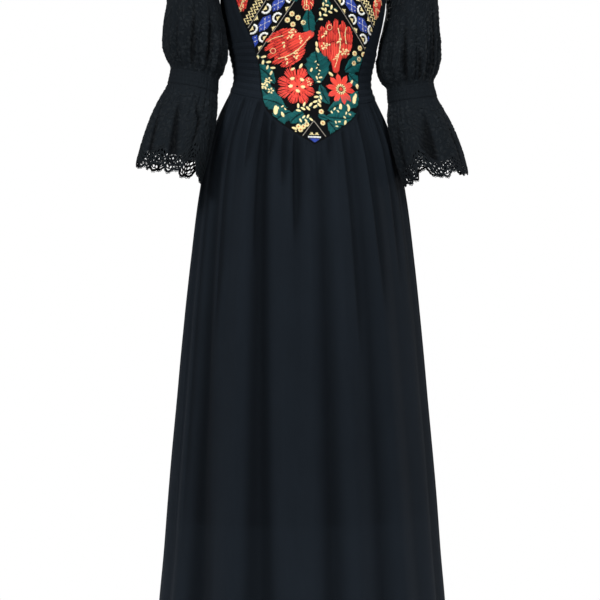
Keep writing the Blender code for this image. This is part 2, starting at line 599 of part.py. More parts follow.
def make_tube(name, side, turn, ring, finish, raised=0.0, wrap=True, holes=None):
    """A stretch of one sleeve; the right one is the left one mirrored, swung a little further out."""

    def surface(u, v):
        return set_sleeve(u, v, side)

    outer, inner = raise_wall(surface, turn, ring, raised, -RING_NUDGE)
    mirror = np.array([side, 1, 1])
    make_wall(name, outer * mirror, inner * mirror, finish, wrap=wrap, holes=holes)


def make_sleeve(word, side):
    """Puffed sleeve, shirred band, flared cuff and its lace."""
    turn = np.linspace(0.0, 360.0, SLEEVE_COLUMNS, endpoint=False)[:, None]
    ring = np.arange(BAND_RINGS[0] + 1) + 0 * turn
    ring[:, -1] -= RING_GAP
    make_tube("sleeve_puff_" + word, side, turn + 0 * ring, ring, "worked")

    turn = np.linspace(0.0, 360.0, BAND_COLUMNS, endpoint=False)[:, None]
    v = np.linspace(0.0, 1.0, 2 * BAND_RIBS + 1)
    ring = blend(BAND_RINGS[0] + RING_GAP, BAND_RINGS[1] - RING_GAP, v) + 0 * turn
    rib = BAND_RIB_HEIGHT * np.sin(np.pi * v * BAND_RIBS) ** 2 + 0 * turn
    make_tube("sleeve_band_" + word, side, turn + 0 * ring, ring, "worked", raised=rib)

    turn = np.linspace(0.0, 360.0, FLOUNCE_COLUMNS, endpoint=False)[:, None]
    v = np.linspace(0.0, 1.0, FLOUNCE_ROWS + 1)
    ring = blend(FLOUNCE_RINGS[0] + RING_GAP, FLOUNCE_RINGS[1] - RING_GAP, v) + 0 * turn
    make_tube("cuff_flounce_" + word, side, turn + 0 * ring, ring, "worked")

    for half, start in (("front", 0.0), ("back", 180.0)):
        make_lace(f"cuff_lace_{word}_{half}", side, start)


def make_lace(name, side, start):
    """Half of a cuff's edging: a row of eyelets between bars, over a scalloped edge."""
    count = SCALLOPS // 2
    place = np.concatenate([np.add.outer(np.arange(count), SCALLOP_COLUMNS).ravel(), [count]])
    turn = start + place * 180 / count
    turn[0] += LACE_GAP_TURN
    turn[-1] -= LACE_GAP_TURN
    ring = np.array(LACE_RINGS)[None, :] + 0 * turn[:, None]
    ring[:, 0] += RING_GAP
    ring[:, -1] += SCALLOP_RINGS * np.abs(np.sin(np.pi * place))
    holes = np.zeros((len(turn) - 1, len(LACE_RINGS) - 1), bool)
    holes[np.isin(np.arange(len(turn) - 1) % len(SCALLOP_COLUMNS), EYELET_COLUMNS), EYELET_ROW] = True
    make_tube(name, side, turn[:, None] + 0 * ring, ring, "lace", wrap=False, holes=holes)


for old in list(bpy.data.objects):
    bpy.data.objects.remove(old)
make_front_panel()
make_back()
make_back_shirring()
make_neck_binding()
for word, side in (("right", -1), ("left", 1)):
    make_side_front("bodice_side_front_" + word, side)
    make_front_shirring("waist_shirring_" + word, side)
    make_sleeve(word, side)
make_skirt_front()
make_skirt_back()
make_lining("skirt_lining_front", -90.0, back=False)
make_lining("skirt_lining_back", 90.0, back=True)
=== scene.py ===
# Long black dress with an embroidered front panel, shirred waist, puffed sleeves and lace cuffs.
# Turn is degrees from the front centre towards +X, drop is metres below the shoulder line.
# Sleeves are worked out as the left one; side is 1 for left and -1 for right.

import bpy
import numpy as np
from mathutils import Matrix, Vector


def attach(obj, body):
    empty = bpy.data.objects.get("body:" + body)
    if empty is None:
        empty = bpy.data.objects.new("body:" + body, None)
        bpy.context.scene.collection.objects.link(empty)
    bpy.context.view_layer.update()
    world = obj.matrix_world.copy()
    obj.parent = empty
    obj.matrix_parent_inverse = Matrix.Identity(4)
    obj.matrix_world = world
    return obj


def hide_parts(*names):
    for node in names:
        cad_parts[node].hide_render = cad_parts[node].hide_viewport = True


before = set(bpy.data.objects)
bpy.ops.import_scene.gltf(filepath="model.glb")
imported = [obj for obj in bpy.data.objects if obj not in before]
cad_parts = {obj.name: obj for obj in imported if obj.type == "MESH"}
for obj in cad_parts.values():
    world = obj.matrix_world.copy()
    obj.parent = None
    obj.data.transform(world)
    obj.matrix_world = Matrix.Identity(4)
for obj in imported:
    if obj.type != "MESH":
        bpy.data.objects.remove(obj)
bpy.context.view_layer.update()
print("frame loaded:", len(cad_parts), "nodes")

viewChoices = {"turn": -11.0, "distance": 3.6, "height": -0.788, "sideStep": -0.0046, "lens": 117.0}
lightChoices = {
    "name": ("keyLeft", "keyRight", "overhead", "edgeLeft", "edgeRight", "behind"),
    "spot": ((-2.0, -2.6, 1.1), (1.8, -2.8, 0.9), (-0.3, -1.2, 2.4),
             (-2.4, 0.9, -0.7), (2.4, 0.8, -0.7), (0.3, 2.6, 0.8)),
    "size": (0.9, 0.9, 1.2, 0.9, 0.9, 1.8),
    "watts": (132.0, 80.0, 30.0, 16.0, 20.0, 90.0),
}
skyChoices = {"seen": 1.0, "cast": 0.13}
floorChoices = {"radius": 0.8, "height": -1.455, "sides": 96}


def makeCamera():
    turn = np.radians(viewChoices["turn"])
    right = np.array([np.cos(turn), np.sin(turn), 0.0])
    back = np.array([np.sin(turn), -np.cos(turn), 0.0])
    camera = bpy.data.objects.new("camera", bpy.data.cameras.new("camera"))
    camera.location = back * viewChoices["distance"] + right * viewChoices["sideStep"]
    camera.location.z = viewChoices["height"]
    camera.rotation_euler = (np.pi / 2, 0.0, turn)
    camera.data.sensor_width = 36.0
    camera.data.lens = viewChoices["lens"]
    bpy.context.scene.collection.objects.link(camera)
    bpy.context.scene.camera = camera


def makeLights():
    for name, spot, size, watts in zip(*lightChoices.values()):
        lamp = bpy.data.lights.new(name, "AREA")
        lamp.shape = "DISK"
        lamp.size = size
        lamp.energy = watts
        made = bpy.data.objects.new(name, lamp)
        made.location = spot
        made.rotation_euler = (Vector((0.0, 0.0, -0.7)) - Vector(spot)).to_track_quat("-Z", "Y").to_euler()
        bpy.context.scene.collection.objects.link(made)


def makeSky():
    # white to the camera, softer as a light, so that the folds keep their shade
    sky = bpy.data.worlds.new("studio")
    bpy.context.scene.world = sky
    sky.use_nodes = True
    tree = sky.node_tree
    path = tree.nodes.new("ShaderNodeLightPath")
    ground = tree.nodes["Background"]
    ground.inputs["Color"].default_value = (1.0, 1.0, 1.0, 1.0)
    strength = tree.nodes.new("ShaderNodeMapRange")
    strength.inputs["To Min"].default_value = skyChoices["cast"]
    strength.inputs["To Max"].default_value = skyChoices["seen"]
    tree.links.new(path.outputs["Is Camera Ray"], strength.inputs["Value"])
    tree.links.new(strength.outputs["Result"], ground.inputs["Strength"])


class Value:
    # a shader socket that takes part in Python arithmetic

    def __init__(self, looks, socket):
        self.looks, self.socket = looks, socket

    def math(self, operation, *others):
        return self.looks.math(operation, self, *others)

    def __add__(self, other):
        return self.math("ADD", other)

    def __mul__(self, other):
        return self.math("MULTIPLY", other)

    def __sub__(self, other):
        return self.math("SUBTRACT", other)

    def __rsub__(self, other):
        return self.looks.math("SUBTRACT", other, self)

    __radd__ = __add__
    __rmul__ = __mul__


class Looks:
    # one material, built from nodes

    def __init__(self, name):
        self.material = bpy.data.materials.new(name)
        self.material.use_nodes = True
        self.tree = self.material.node_tree
        self.tree.nodes.clear()

    def node(self, kind, settings=None, sockets=None, out=0):
        made = self.tree.nodes.new(kind)
        for key, value in (settings or {}).items():
            setattr(made, key, value)
        for key, value in (sockets or {}).items():
            if isinstance(value, Value):
                self.tree.links.new(value.socket, made.inputs[key])
            else:
                made.inputs[key].default_value = value
        return Value(self, made.outputs[out])

    def math(self, operation, *values):
        return self.node("ShaderNodeMath", {"operation": operation}, dict(enumerate(values)))

    def mixColour(self, share, *tints):
        # a tuple is a plain colour, and its alpha is added here
        first, second = ((*tint, 1.0) if isinstance(tint, tuple) else tint for tint in tints)
        return self.node("ShaderNodeMix", {"data_type": "RGBA"}, {0: share, 6: first, 7: second}, 2)

    def noise(self, place, scale, detail=2.0, rough=0.5):
        sockets = {"Vector": place, "Scale": scale, "Detail": detail, "Roughness": rough}
        return self.node("ShaderNodeTexNoise", None, sockets)

    def attribute(self, name):
        # a number that the mesh holds at each point
        return self.node("ShaderNodeAttribute", {"attribute_name": name}, None, 2)

    def axis(self, vector, number):
        return self.node("ShaderNodeSeparateXYZ", None, {0: vector}, number)

    def place(self):
        return self.node("ShaderNodeTexCoord", None, None, 3)

    def clothPlace(self):
        # the cloth map as a vector, then its metres across and down the cloth
        spot = self.node("ShaderNodeUVMap", {"uv_map": "cloth"})
        return spot, self.axis(spot, 0), self.axis(spot, 1)

    def wave(self, value, length):
        return (value * (2 * np.pi / length)).math("SINE")

    def bump(self, height, distance, strength):
        sockets = {"Height": height, "Distance": distance, "Strength": strength}
        return self.node("ShaderNodeBump", None, sockets)

    def finish(self, sockets):
        shader = self.node("ShaderNodeBsdfPrincipled", None, sockets)
        output = self.tree.nodes.new("ShaderNodeOutputMaterial")
        self.tree.links.new(shader.socket, output.inputs["Surface"])
        return self.material


# valley is how far the painted shade darkens the cloth in its valleys and creases
crepeChoices = {
    "dark": (0.0046, 0.0064, 0.0088), "light": (0.0098, 0.0136, 0.0188),
    "rough": 0.80, "sheen": 0.012, "specular": 0.03, "valleyShade": 0.60,
}
workedChoices = {
    "dark": (0.0034, 0.0047, 0.0062), "light": (0.0078, 0.0106, 0.0134),
    "rough": 0.80, "sheen": 0.012, "specular": 0.04, "valleyShade": 0.80,
}
panelChoices = {**crepeChoices, "dark": (0.0022, 0.0024, 0.0028), "light": (0.0052, 0.0056, 0.0064)}
# deepest is the painted valley shade's darkest colour, as a share of the dark colour
yarnChoices = {"weave": 0.0009, "twist": 0.0022, "slant": 0.55, "deepest": 0.25}
# the lining's hem, and the drops between which the skirt's single layer below it is painted lighter, standing
# in for light through the cloth
sheerChoices = {"liningHem": 1.186, "from": 1.182, "to": 1.190, "light": 0.16}
# each floss has its dark and light shade and its roughness
threadChoices = {
    "coral": ((0.62, 0.035, 0.028), (0.90, 0.105, 0.070), 0.46),
    "rose": ((0.40, 0.016, 0.022), (0.66, 0.045, 0.045), 0.48),
    "teal": ((0.002, 0.050, 0.054), (0.006, 0.135, 0.132), 0.60),
    "cream": ((0.66, 0.52, 0.22), (0.92, 0.80, 0.46), 0.48),
    "blue": ((0.014, 0.034, 0.260), (0.050, 0.105, 0.500), 0.52),
    "white": ((0.62, 0.62, 0.60), (0.88, 0.88, 0.86), 0.50),
    "grey": ((0.22, 0.20, 0.17), (0.40, 0.37, 0.32), 0.50),
    "orange": ((0.70, 0.16, 0.04), (0.88, 0.30, 0.08), 0.48),
}
# the black threads also have their sheen and their specular level
blackChoices = {
    "laceCord": ((0.0036, 0.0050, 0.0062), (0.0084, 0.0110, 0.0134), 0.80, 0.01, 0.06),
    "blackFloss": ((0.0036, 0.0050, 0.0064), (0.0092, 0.0124, 0.0152), 0.74, 0.01, 0.07),
    "seamThread": ((0.0040, 0.0050, 0.0064), (0.0080, 0.0100, 0.0125), 0.7, 0.01, 0.06),
}


def clothLooks(name, choices, crinkle=1.0, sheer=False):
    # plain weave as two crossing waves, with a crinkled yarn and slow changes of shade
    looks = Looks(name)
    place = looks.place()
    spot, along, down = looks.clothPlace()
    weave = looks.wave(along, yarnChoices["weave"]) * looks.wave(down, yarnChoices["weave"])
    yarn = looks.noise(place, 900.0, 3.0, 0.6)
    slow = looks.noise(place, 7.0, 3.0, 0.55)
    drawn = looks.node("ShaderNodeMapping", None, {"Vector": spot, "Scale": (240.0, 14.0, 1.0)})
    slub = looks.noise(drawn, 1.0)
    share = slow * 0.5 + slub * 0.28 + yarn * 0.22 + weave * 0.05
    colour = looks.mixColour(share, choices["dark"], choices["light"])
    # painted shade: cloth drawn into a valley is darkened towards a deeper copy of its dark colour, as if
    # shade fell there
    deep = tuple(yarnChoices["deepest"] * part for part in choices["dark"])
    colour = looks.mixColour(looks.attribute("valleyShade") * choices["valleyShade"], colour, deep)
    if sheer:
        # painted light: the single layer below the lining's hem is made lighter, standing in for a little
        # light coming through
        sockets = {"Value": looks.axis(place, 2), "To Max": sheerChoices["light"]}
        sockets.update({"From Min": -sheerChoices["from"], "From Max": -sheerChoices["to"]})
        below = looks.node("ShaderNodeMapRange", None, sockets)
        colour = looks.mixColour(below, colour, choices["light"])
    bump = looks.bump(weave * 0.4 + yarn * 0.9 * crinkle, 0.0005, 0.55)
    rough = slub * 0.12 + (choices["rough"] - 0.06)
    return looks.finish({
        "Base Color": colour, "Roughness": rough, "Normal": bump, "Specular IOR Level": choices["specular"],
        "Sheen Weight": choices["sheen"], "Sheen Roughness": 0.45, "Sheen Tint": (0.72, 0.80, 1.0, 1.0),
    })


def threadLooks(name, dark, light, rough, sheen=0.02, specular=0.14):
    # twisted floss: slanted waves along the stitch, its shade set by the stitch's own tone
    looks = Looks(name)
    _, along, down = looks.clothPlace()
    strand = looks.wave(along + down * yarnChoices["slant"], yarnChoices["twist"])
    fibre = looks.noise(looks.place(), 1400.0)
    share = looks.attribute("tone") * 0.72 + strand * 0.09 + fibre * 0.26
    # painted shade: the floss is darker where it lies in a fold's valley
    deep = tuple(yarnChoices["deepest"] * part for part in dark)
    colour = looks.mixColour(looks.attribute("valleyShade") * 0.75, looks.mixColour(share, dark, light), deep)
    bump = looks.bump(strand * 0.5 + fibre * 0.6, 0.0004, 0.5)
    return looks.finish({
        "Base Color": colour, "Roughness": fibre * 0.16 + (rough - 0.08), "Normal": bump,
        "Specular IOR Level": specular, "Sheen Weight": sheen, "Sheen Roughness": 0.4,
    })


materials = {
    "crepe": clothLooks("crepe", crepeChoices),
    "skirtCrepe": clothLooks("skirtCrepe", crepeChoices, sheer=True),
    "worked": clothLooks("workedCotton", workedChoices, 1.5),
    "lining": clothLooks("liningCloth", {**crepeChoices, "rough": 0.5, "specular": 0.12}, 0.3),
    "panelGround": clothLooks("panelGround", panelChoices),
    **{key: threadLooks(key, *values) for key, values in blackChoices.items()},
    **{key: threadLooks(key + "Floss", *values) for key, values in threadChoices.items()},
}
print("materials made:", len(materials))

bodyForm = {
    "drop": (-0.02, 0.0, 0.045, 0.10, 0.16, 0.24, 0.33, 0.39, 0.41, 0.43, 0.455, 0.51, 0.60,
             0.70, 0.79, 0.88, 0.97, 1.07, 1.16, 1.25, 1.34, 1.42),
    "halfWidth": (0.050, 0.090, 0.168, 0.162, 0.156, 0.153, 0.137, 0.1275, 0.134, 0.144, 0.156,
                  0.1755, 0.1925, 0.205, 0.215, 0.2235, 0.2315, 0.241, 0.2485, 0.2555, 0.264, 0.270),
    "frontDepth": (0.020, 0.034, 0.068, 0.093, 0.110, 0.124, 0.102, 0.094, 0.096, 0.099, 0.103,
                   0.114, 0.131, 0.148, 0.160, 0.169, 0.178, 0.188, 0.197, 0.206, 0.214, 0.220),
    "backDepth": (0.022, 0.038, 0.074, 0.094, 0.100, 0.094, 0.087, 0.086, 0.092, 0.101, 0.112,
                  0.132, 0.153, 0.168, 0.178, 0.187, 0.195, 0.204, 0.212, 0.220, 0.227, 0.233),
}
cutChoices = {
    "cloth": 0.0013, "seamGap": 0.0003, "hem": 1.42,
    "neckHalfWidth": 0.090, "neckFront": 0.090, "neckBack": 0.030, "neckBlend": 0.35,
    "armholeDrop": 0.121, "armholeHalfHeight": 0.076, "armholeHalfDepth": 0.055, "armholeColumns": 28,
    "point": 0.5096, "pointTurn": 38.0, "pointCorner": 0.430, "pointStraight": 0.82, "pointPower": 8,
    "shirringTop": 0.325, "sideWaist": 0.410, "waistGap": 0.0002, "shirringGap": 0.00015, "princessGap": 0.06,
}
princessSeam = {
    "drop": (0.218, 0.254, 0.290, 0.325, 0.360, 0.390, 0.411, 0.430),
    "turn": (67.0, 62.0, 56.0, 49.5, 47.0, 45.8, 42.5, 38.0),
}
leanChoices = {"lean": 0.03, "drops": (0.05, 0.35, 0.42, 0.62)}


def smooth(table, column, at):
    # a table's column between its rows, as a curve with no corners
    rows = np.array(next(iter(table.values())), float)
    values = np.array(table[column], float)
    step = np.diff(values) / np.diff(rows)
    slope = np.concatenate([step[:1], (step[:-1] + step[1:]) / 2, step[-1:]])
    at = np.clip(at, rows[0], rows[-1])
    left = np.clip(np.searchsorted(rows, at, side="right") - 1, 0, len(rows) - 2)
    width = rows[left + 1] - rows[left]
    t = (at - rows[left]) / width
    ends = values[left] * (1 + 2 * t) * (1 - t) ** 2 + values[left + 1] * t * t * (3 - 2 * t)
    return ends + width * t * (1 - t) * (slope[left] * (1 - t) - slope[left + 1] * t)


def ease(at):
    # from 0 to 1 with no corner at either end
    at = np.clip(at, 0.0, 1.0)
    return at * at * (3 - 2 * at)


def blend(start, end, share):
    return start + (end - start) * share


def aside(turn, centre):
    # degrees from a centre, the short way round
    return (turn - centre + 180) % 360 - 180


def stray(*counts):
    # a fixed scatter from -1 to 1 for a number or grid of numbers
    total = sum(np.asarray(c, float) * k for c, k in zip(counts, (12.9898, 78.233, 37.719)))
    return 2 * np.mod(np.sin(total) * 43758.5453, 1.0) - 1


def bodyDepth(angle, drop):
    # from the middle to the cloth in front, or to the cloth behind
    inFront, behind = smooth(bodyForm, "frontDepth", drop), smooth(bodyForm, "backDepth", drop)
    return np.where(np.cos(angle) > 0, inFront, behind)


def bodyAt(turn, drop):
    # an ellipse at each drop, deeper behind than in front
    angle = np.radians(turn)
    x = smooth(bodyForm, "halfWidth", drop) * np.sin(angle)
    y = -bodyDepth(angle, drop) * np.cos(angle)
    return np.stack(np.broadcast_arrays(x, y, -drop), axis=-1)


def facing(surface, u, v, vStep=0.0001, uStep=0.02):
    # the unit vector square to a surface, from its slopes both ways
    alongU = surface(u + uStep, v) - surface(u - uStep, v)
    alongV = surface(u, v - vStep) - surface(u, v + vStep)
    normal = np.cross(alongU, alongV)
    return normal / np.linalg.norm(normal, axis=-1, keepdims=True)


def leanOver(points):
    # tips the waist a little towards the wearer's left
    start, full, ending, end = leanChoices["drops"]
    drop = -points[..., 2]
    share = ease((drop - start) / (full - start)) * ease((end - drop) / (end - ending))
    tipped = points.copy()
    tipped[..., 2] -= leanChoices["lean"] * points[..., 0] * share
    return tipped


def waistDrop(turn):
    # level behind, lower in front, dipping to the panel's point
    cut = cutChoices
    turn = np.abs((np.asarray(turn, float) + 180) % 360 - 180)
    share = np.minimum(turn / cut["pointTurn"], 1.0)
    rise = cut["pointStraight"] * share + (1 - cut["pointStraight"]) * share ** cut["pointPower"]
    point = blend(cut["point"], cut["pointCorner"], rise)
    past = np.clip((turn - cut["pointTurn"]) / (90 - cut["pointTurn"]), 0, 1)
    beyond = blend(cut["pointCorner"], cut["sideWaist"], past)
    return np.where(turn < cut["pointTurn"], point, beyond)


def neckPoint(roundTurn):
    # turn and drop of the scooped neckline
    angle = np.radians(roundTurn)
    drop = np.where(np.cos(angle) > 0, cutChoices["neckFront"], cutChoices["neckBack"]) * np.cos(angle) ** 2
    share = cutChoices["neckHalfWidth"] * np.sin(angle) / smooth(bodyForm, "halfWidth", drop)
    turn = np.degrees(np.arcsin(np.clip(share, -1.0, 1.0)))
    return np.where(np.cos(angle) < 0, 180 - turn, turn), drop


def armholeEdge(column, behind=False):
    # turn and drop of the upright oval armhole
    angle = np.radians(np.asarray(column, float) * 360 / cutChoices["armholeColumns"])
    drop = cutChoices["armholeDrop"] - cutChoices["armholeHalfHeight"] * np.cos(angle)
    depth = cutChoices["armholeHalfDepth"] * np.sin(angle)
    whole = smooth(bodyForm, "backDepth" if behind else "frontDepth", drop)
    return np.degrees(np.arccos(np.clip(depth / whole, 0.0, 1.0))), drop


def belowNeck(s, edge, share, bottom, behind=False):
    # a grid from the neckline down, widening to the given edge and bottom
    topTurn, topDrop = neckPoint(180 - s * 90.0 if behind else s * 90.0)
    topTurn = 180 - topTurn if behind else topTurn
    across = blend(topTurn / 90.0, s, ease(share / cutChoices["neckBlend"]))
    turn = across * edge
    return 180 - turn if behind else turn, blend(topDrop, bottom, share)


def putMesh(name, points, quads, material, uv=None, tone=None, valleyShade=None):
    # one mesh from whole arrays, turned the right way out by the sign of its volume
    a, b, c, d = (points[quads[:, k]] for k in range(4))
    volume = np.einsum("ij,ij->", a, np.cross(b, c)) + np.einsum("ij,ij->", a, np.cross(c, d))
    if volume < 0:
        quads = quads[:, ::-1]
        uv = None if uv is None else uv[:, ::-1]
    mesh = bpy.data.meshes.new(name)
    mesh.from_pydata(points.tolist(), [], quads.tolist())
    if uv is not None:
        layer = mesh.uv_layers.new(name="cloth")
        layer.data.foreach_set("uv", np.ascontiguousarray(uv, np.float32).ravel())
    # each point's stitch tone and its painted valley shade
    for word, values in (("tone", tone), ("valleyShade", valleyShade)):
        if values is not None:
            field = mesh.attributes.new(word, "FLOAT", "POINT")
            field.data.foreach_set("value", np.ascontiguousarray(values, np.float32))
    mesh.shade_smooth()
    mesh.set_sharp_from_angle(angle=np.radians(50))
    mesh.materials.append(material)
    made = bpy.data.objects.new(name, mesh)
    bpy.context.scene.collection.objects.link(made)
    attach(made, "root")
    return made


def clothShell(name, outer, inner, material, wrap=False, valleyShade=None):
    # closes the space between two grids; the cloth map measures metres along the outer one
    columns, rows = outer.shape[:2]
    outer, inner = leanOver(outer), leanOver(inner)
    total = columns * rows
    spread = np.concatenate([outer, outer[:1]]) if wrap else outer
    across = np.linalg.norm(np.diff(spread, axis=0), axis=-1)
    across = np.concatenate([np.zeros((1, rows)), np.cumsum(across, axis=0)])
    down = np.linalg.norm(np.diff(spread, axis=1), axis=-1)
    down = np.concatenate([np.zeros((len(spread), 1)), np.cumsum(down, axis=1)], axis=1)
    middle = across[len(spread) // 2]
    place = np.stack([across - middle, down], axis=-1).reshape(-1, 2)
    n = np.arange(len(spread) * rows).reshape(len(spread), rows)
    a, b, c, d = n[:-1, :-1].ravel(), n[1:, :-1].ravel(), n[1:, 1:].ravel(), n[:-1, 1:].ravel()
    faces = [(np.stack([a, b, c, d], 1), (0, 0, 0, 0)), (np.stack([d, c, b, a], 1), (1, 1, 1, 1))]
    rims = [(n[1:, 0], n[:-1, 0]), (n[:-1, -1], n[1:, -1])]
    if not wrap:
        rims += [(n[-1, 1:], n[-1, :-1]), (n[0, :-1], n[0, 1:])]
    faces += [(np.stack([first, second, second, first], 1), (0, 0, 1, 1)) for first, second in rims]
    index = np.concatenate([f for f, side in faces])
    side = np.concatenate([np.tile(np.array(side), (len(f), 1)) for f, side in faces])
    points = np.concatenate([outer.reshape(-1, 3), inner.reshape(-1, 3)])
    # the painted valley shade, the same on both walls
    deep = None if valleyShade is None else np.tile(np.broadcast_to(valleyShade, outer.shape[:2]).ravel(), 2)
    return putMesh(name, points, index % total + side * total, materials[material], place[index], valleyShade=deep)


def clothWall(surface, u, v, raised=0.0, vStep=0.0001):
    # outer points raised by a height, and inner points one cloth inside
    base = surface(u, v)
    normal = facing(surface, u, v, vStep)
    raised = np.broadcast_to(raised, base.shape[:-1])[..., None]
    return base + normal * raised, base + normal * np.minimum(raised, 0.0) - normal * cutChoices["cloth"]


def besideSeam(grids, back=False):
    shift = np.array([0.0, cutChoices["seamGap"] / 2 * (1 if back else -1), 0.0])
    return [grid + shift for grid in grids]


def finishPiece(piece, nodes):
    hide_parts(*nodes)
    return piece


panelGrid = {"columns": 96, "rows": 90, "pull": 0.0006}


def panelSeam(drop):
    # turn of the panel's side edge: shoulder, armhole, then the princess seam
    turns, drops = armholeEdge((0, 3, 5, 7, 9, 11))
    drops = np.concatenate([[0.0, 0.0225], drops, princessSeam["drop"]])
    turns = np.concatenate([[90.0, 90.0], turns, princessSeam["turn"]])
    return np.interp(drop, drops, turns)


def makeFrontPanel():
    s = np.linspace(-1.0, 1.0, panelGrid["columns"] + 1)[:, None]
    share = np.linspace(0.0, 1.0, panelGrid["rows"] + 1)
    edge = panelSeam(share * cutChoices["pointCorner"])
    bottom = waistDrop(s * cutChoices["pointTurn"]) - cutChoices["waistGap"]
    turn, drop = belowNeck(s, edge - cutChoices["princessGap"], share, bottom)
    drag = panelGrid["pull"] * np.sin(drop * 95 + s * 2.1) * np.sin(np.pi * share) * (1 - s * s)
    outer, inner = besideSeam(clothWall(bodyAt, turn, drop, np.minimum(drag, 0.0)))
    piece = clothShell("panel_cloth", outer, inner, "panelGround")
    nodes, flat = ["bodice_front_panel"], (0.44, 0.52)
    return finishPiece(piece, nodes)


sideChoices = {"columns": 60, "rows": 40, "gathers": 4, "height": 0.0014, "fine": 0.0005}


def makeSideFront(word, side):
    # upright gathers between the panel and the side seam, under the armhole
    s = np.linspace(0.0, 1.0, sideChoices["columns"] + 1)[:, None]
    topTurn, topDrop = armholeEdge(blend(11, 14, s))
    w = np.linspace(0.0, 1.0, sideChoices["rows"] + 1)
    top = cutChoices["shirringTop"]
    edgeDrop = blend(topDrop[0, 0], top, w)
    seamDrop = np.concatenate([topDrop[0], princessSeam["drop"]])
    edgeTurn = np.interp(edgeDrop, seamDrop, np.concatenate([topTurn[0], princessSeam["turn"]]))
    q = blend((topTurn - topTurn[0]) / (90 - topTurn[0]), s, w)
    turn = blend(edgeTurn + cutChoices["princessGap"], 90.0, q)
    drop = blend(topDrop, top - cutChoices["shirringGap"], w)
    gather = sideChoices["height"] * np.sin(np.pi * s * sideChoices["gathers"]) ** 2
    fine = sideChoices["fine"] * np.sin(2 * np.pi * (s * 11 + 0.35 * np.sin(5 * w))) ** 2
    raised = (gather + fine) * np.sin(np.pi * w) ** 0.5
    mirror = np.array([side, 1, 1])
    outer, inner = besideSeam(clothWall(bodyAt, turn, drop, raised))
    piece = clothShell("side_front_cloth_" + word, outer * mirror, inner * mirror, "crepe")
    nodes = ["bodice_side_front_" + word]
    return finishPiece(piece, nodes)


shirringChoices = {"ribs": 8, "ribHeight": 0.0016, "fineRibs": 24, "fineHeight": 0.0006, "rowsPerRib": 3}


def shirredRelief(s, v, turns):
    # broad ribs with finer ones over them, puckered upright
    c = shirringChoices
    broad = c["ribHeight"] * np.sin(np.pi * v * c["ribs"]) ** 2 * 0.6
    pucker = c["fineHeight"] + 0.0004 * np.sin(turns * 1.9 + 3 * np.sin(v * 9))
    fine = np.abs(np.sin(np.pi * v * c["fineRibs"])) * pucker
    return np.maximum(broad + fine, 0.0) + 0 * s


def makeFrontShirring(word, side):
    s = np.linspace(0.0, 1.0, 61)[:, None]
    v = np.linspace(0.0, 1.0, shirringChoices["fineRibs"] * shirringChoices["rowsPerRib"] + 1)
    edgeDrop = blend(cutChoices["shirringTop"], cutChoices["pointCorner"], v)
    edge = np.interp(edgeDrop, princessSeam["drop"], princessSeam["turn"]) + cutChoices["princessGap"]
    turn = blend(edge, 90.0, s)
    bottom = waistDrop(turn[:, -1:]) - cutChoices["waistGap"]
    drop = blend(cutChoices["shirringTop"] + cutChoices["shirringGap"], bottom, v)
    outer, inner = besideSeam(clothWall(bodyAt, turn, drop, shirredRelief(s, v, turn)))
    mirror = np.array([side, 1, 1])
    piece = clothShell("shirred_waist_" + word, outer * mirror, inner * mirror, "crepe")
    nodes, hungFrom = ["waist_shirring_" + word], ["panel_cloth", "side_front_cloth_" + word]
    return finishPiece(piece, nodes)


def makeBackShirring():
    s = np.linspace(-1.0, 1.0, 111)[:, None]
    v = np.linspace(0.0, 1.0, shirringChoices["fineRibs"] * shirringChoices["rowsPerRib"] + 1)
    turn = 180 - s * 90.0 + 0 * v
    bottom = waistDrop(180 - s * 90.0) - cutChoices["waistGap"]
    drop = blend(cutChoices["shirringTop"] + cutChoices["shirringGap"], bottom, v)
    outer, inner = besideSeam(clothWall(bodyAt, turn, drop, shirredRelief(s, v, turn)), back=True)
    piece = clothShell("shirred_waist_back", outer, inner, "crepe")
    nodes = ["waist_shirring_back"]
    return finishPiece(piece, nodes)


def makeBack():
    s = np.linspace(-1.0, 1.0, 97)[:, None]
    share = np.linspace(0.0, 1.0, 81)
    turns, drops = armholeEdge((0, 3, 5, 7, 9, 11, 14), behind=True)
    drops = np.concatenate([[0.0, 0.0225], drops, [0.24, 0.2825, 0.325]])
    turns = np.concatenate([[90.0, 90.0], turns, [90.0, 90.0, 90.0]])
    edge = np.interp(share * cutChoices["shirringTop"], drops, turns)
    turn, drop = belowNeck(s, edge, share, cutChoices["shirringTop"] - cutChoices["shirringGap"], behind=True)
    # soft gathers rise from the shirred waist, and a few drag lines run from the armholes
    gather = 0.0011 * np.sin(np.pi * 15 * s + 0.6 * np.sin(7 * s)) ** 2
    gather = gather * ease((share - 0.72) / 0.28) * (1 - share**20)
    drag = 0.0012 * np.sin(drop * 60 - np.abs(s) * 5) ** 2
    drag = drag * ease(np.abs(s) * 1.6 - 0.5) * np.sin(np.pi * share)
    outer, inner = besideSeam(clothWall(bodyAt, turn, drop, gather + drag), back=True)
    piece = clothShell("back_cloth", outer, inner, "crepe")
    return finishPiece(piece, ["bodice_back"])


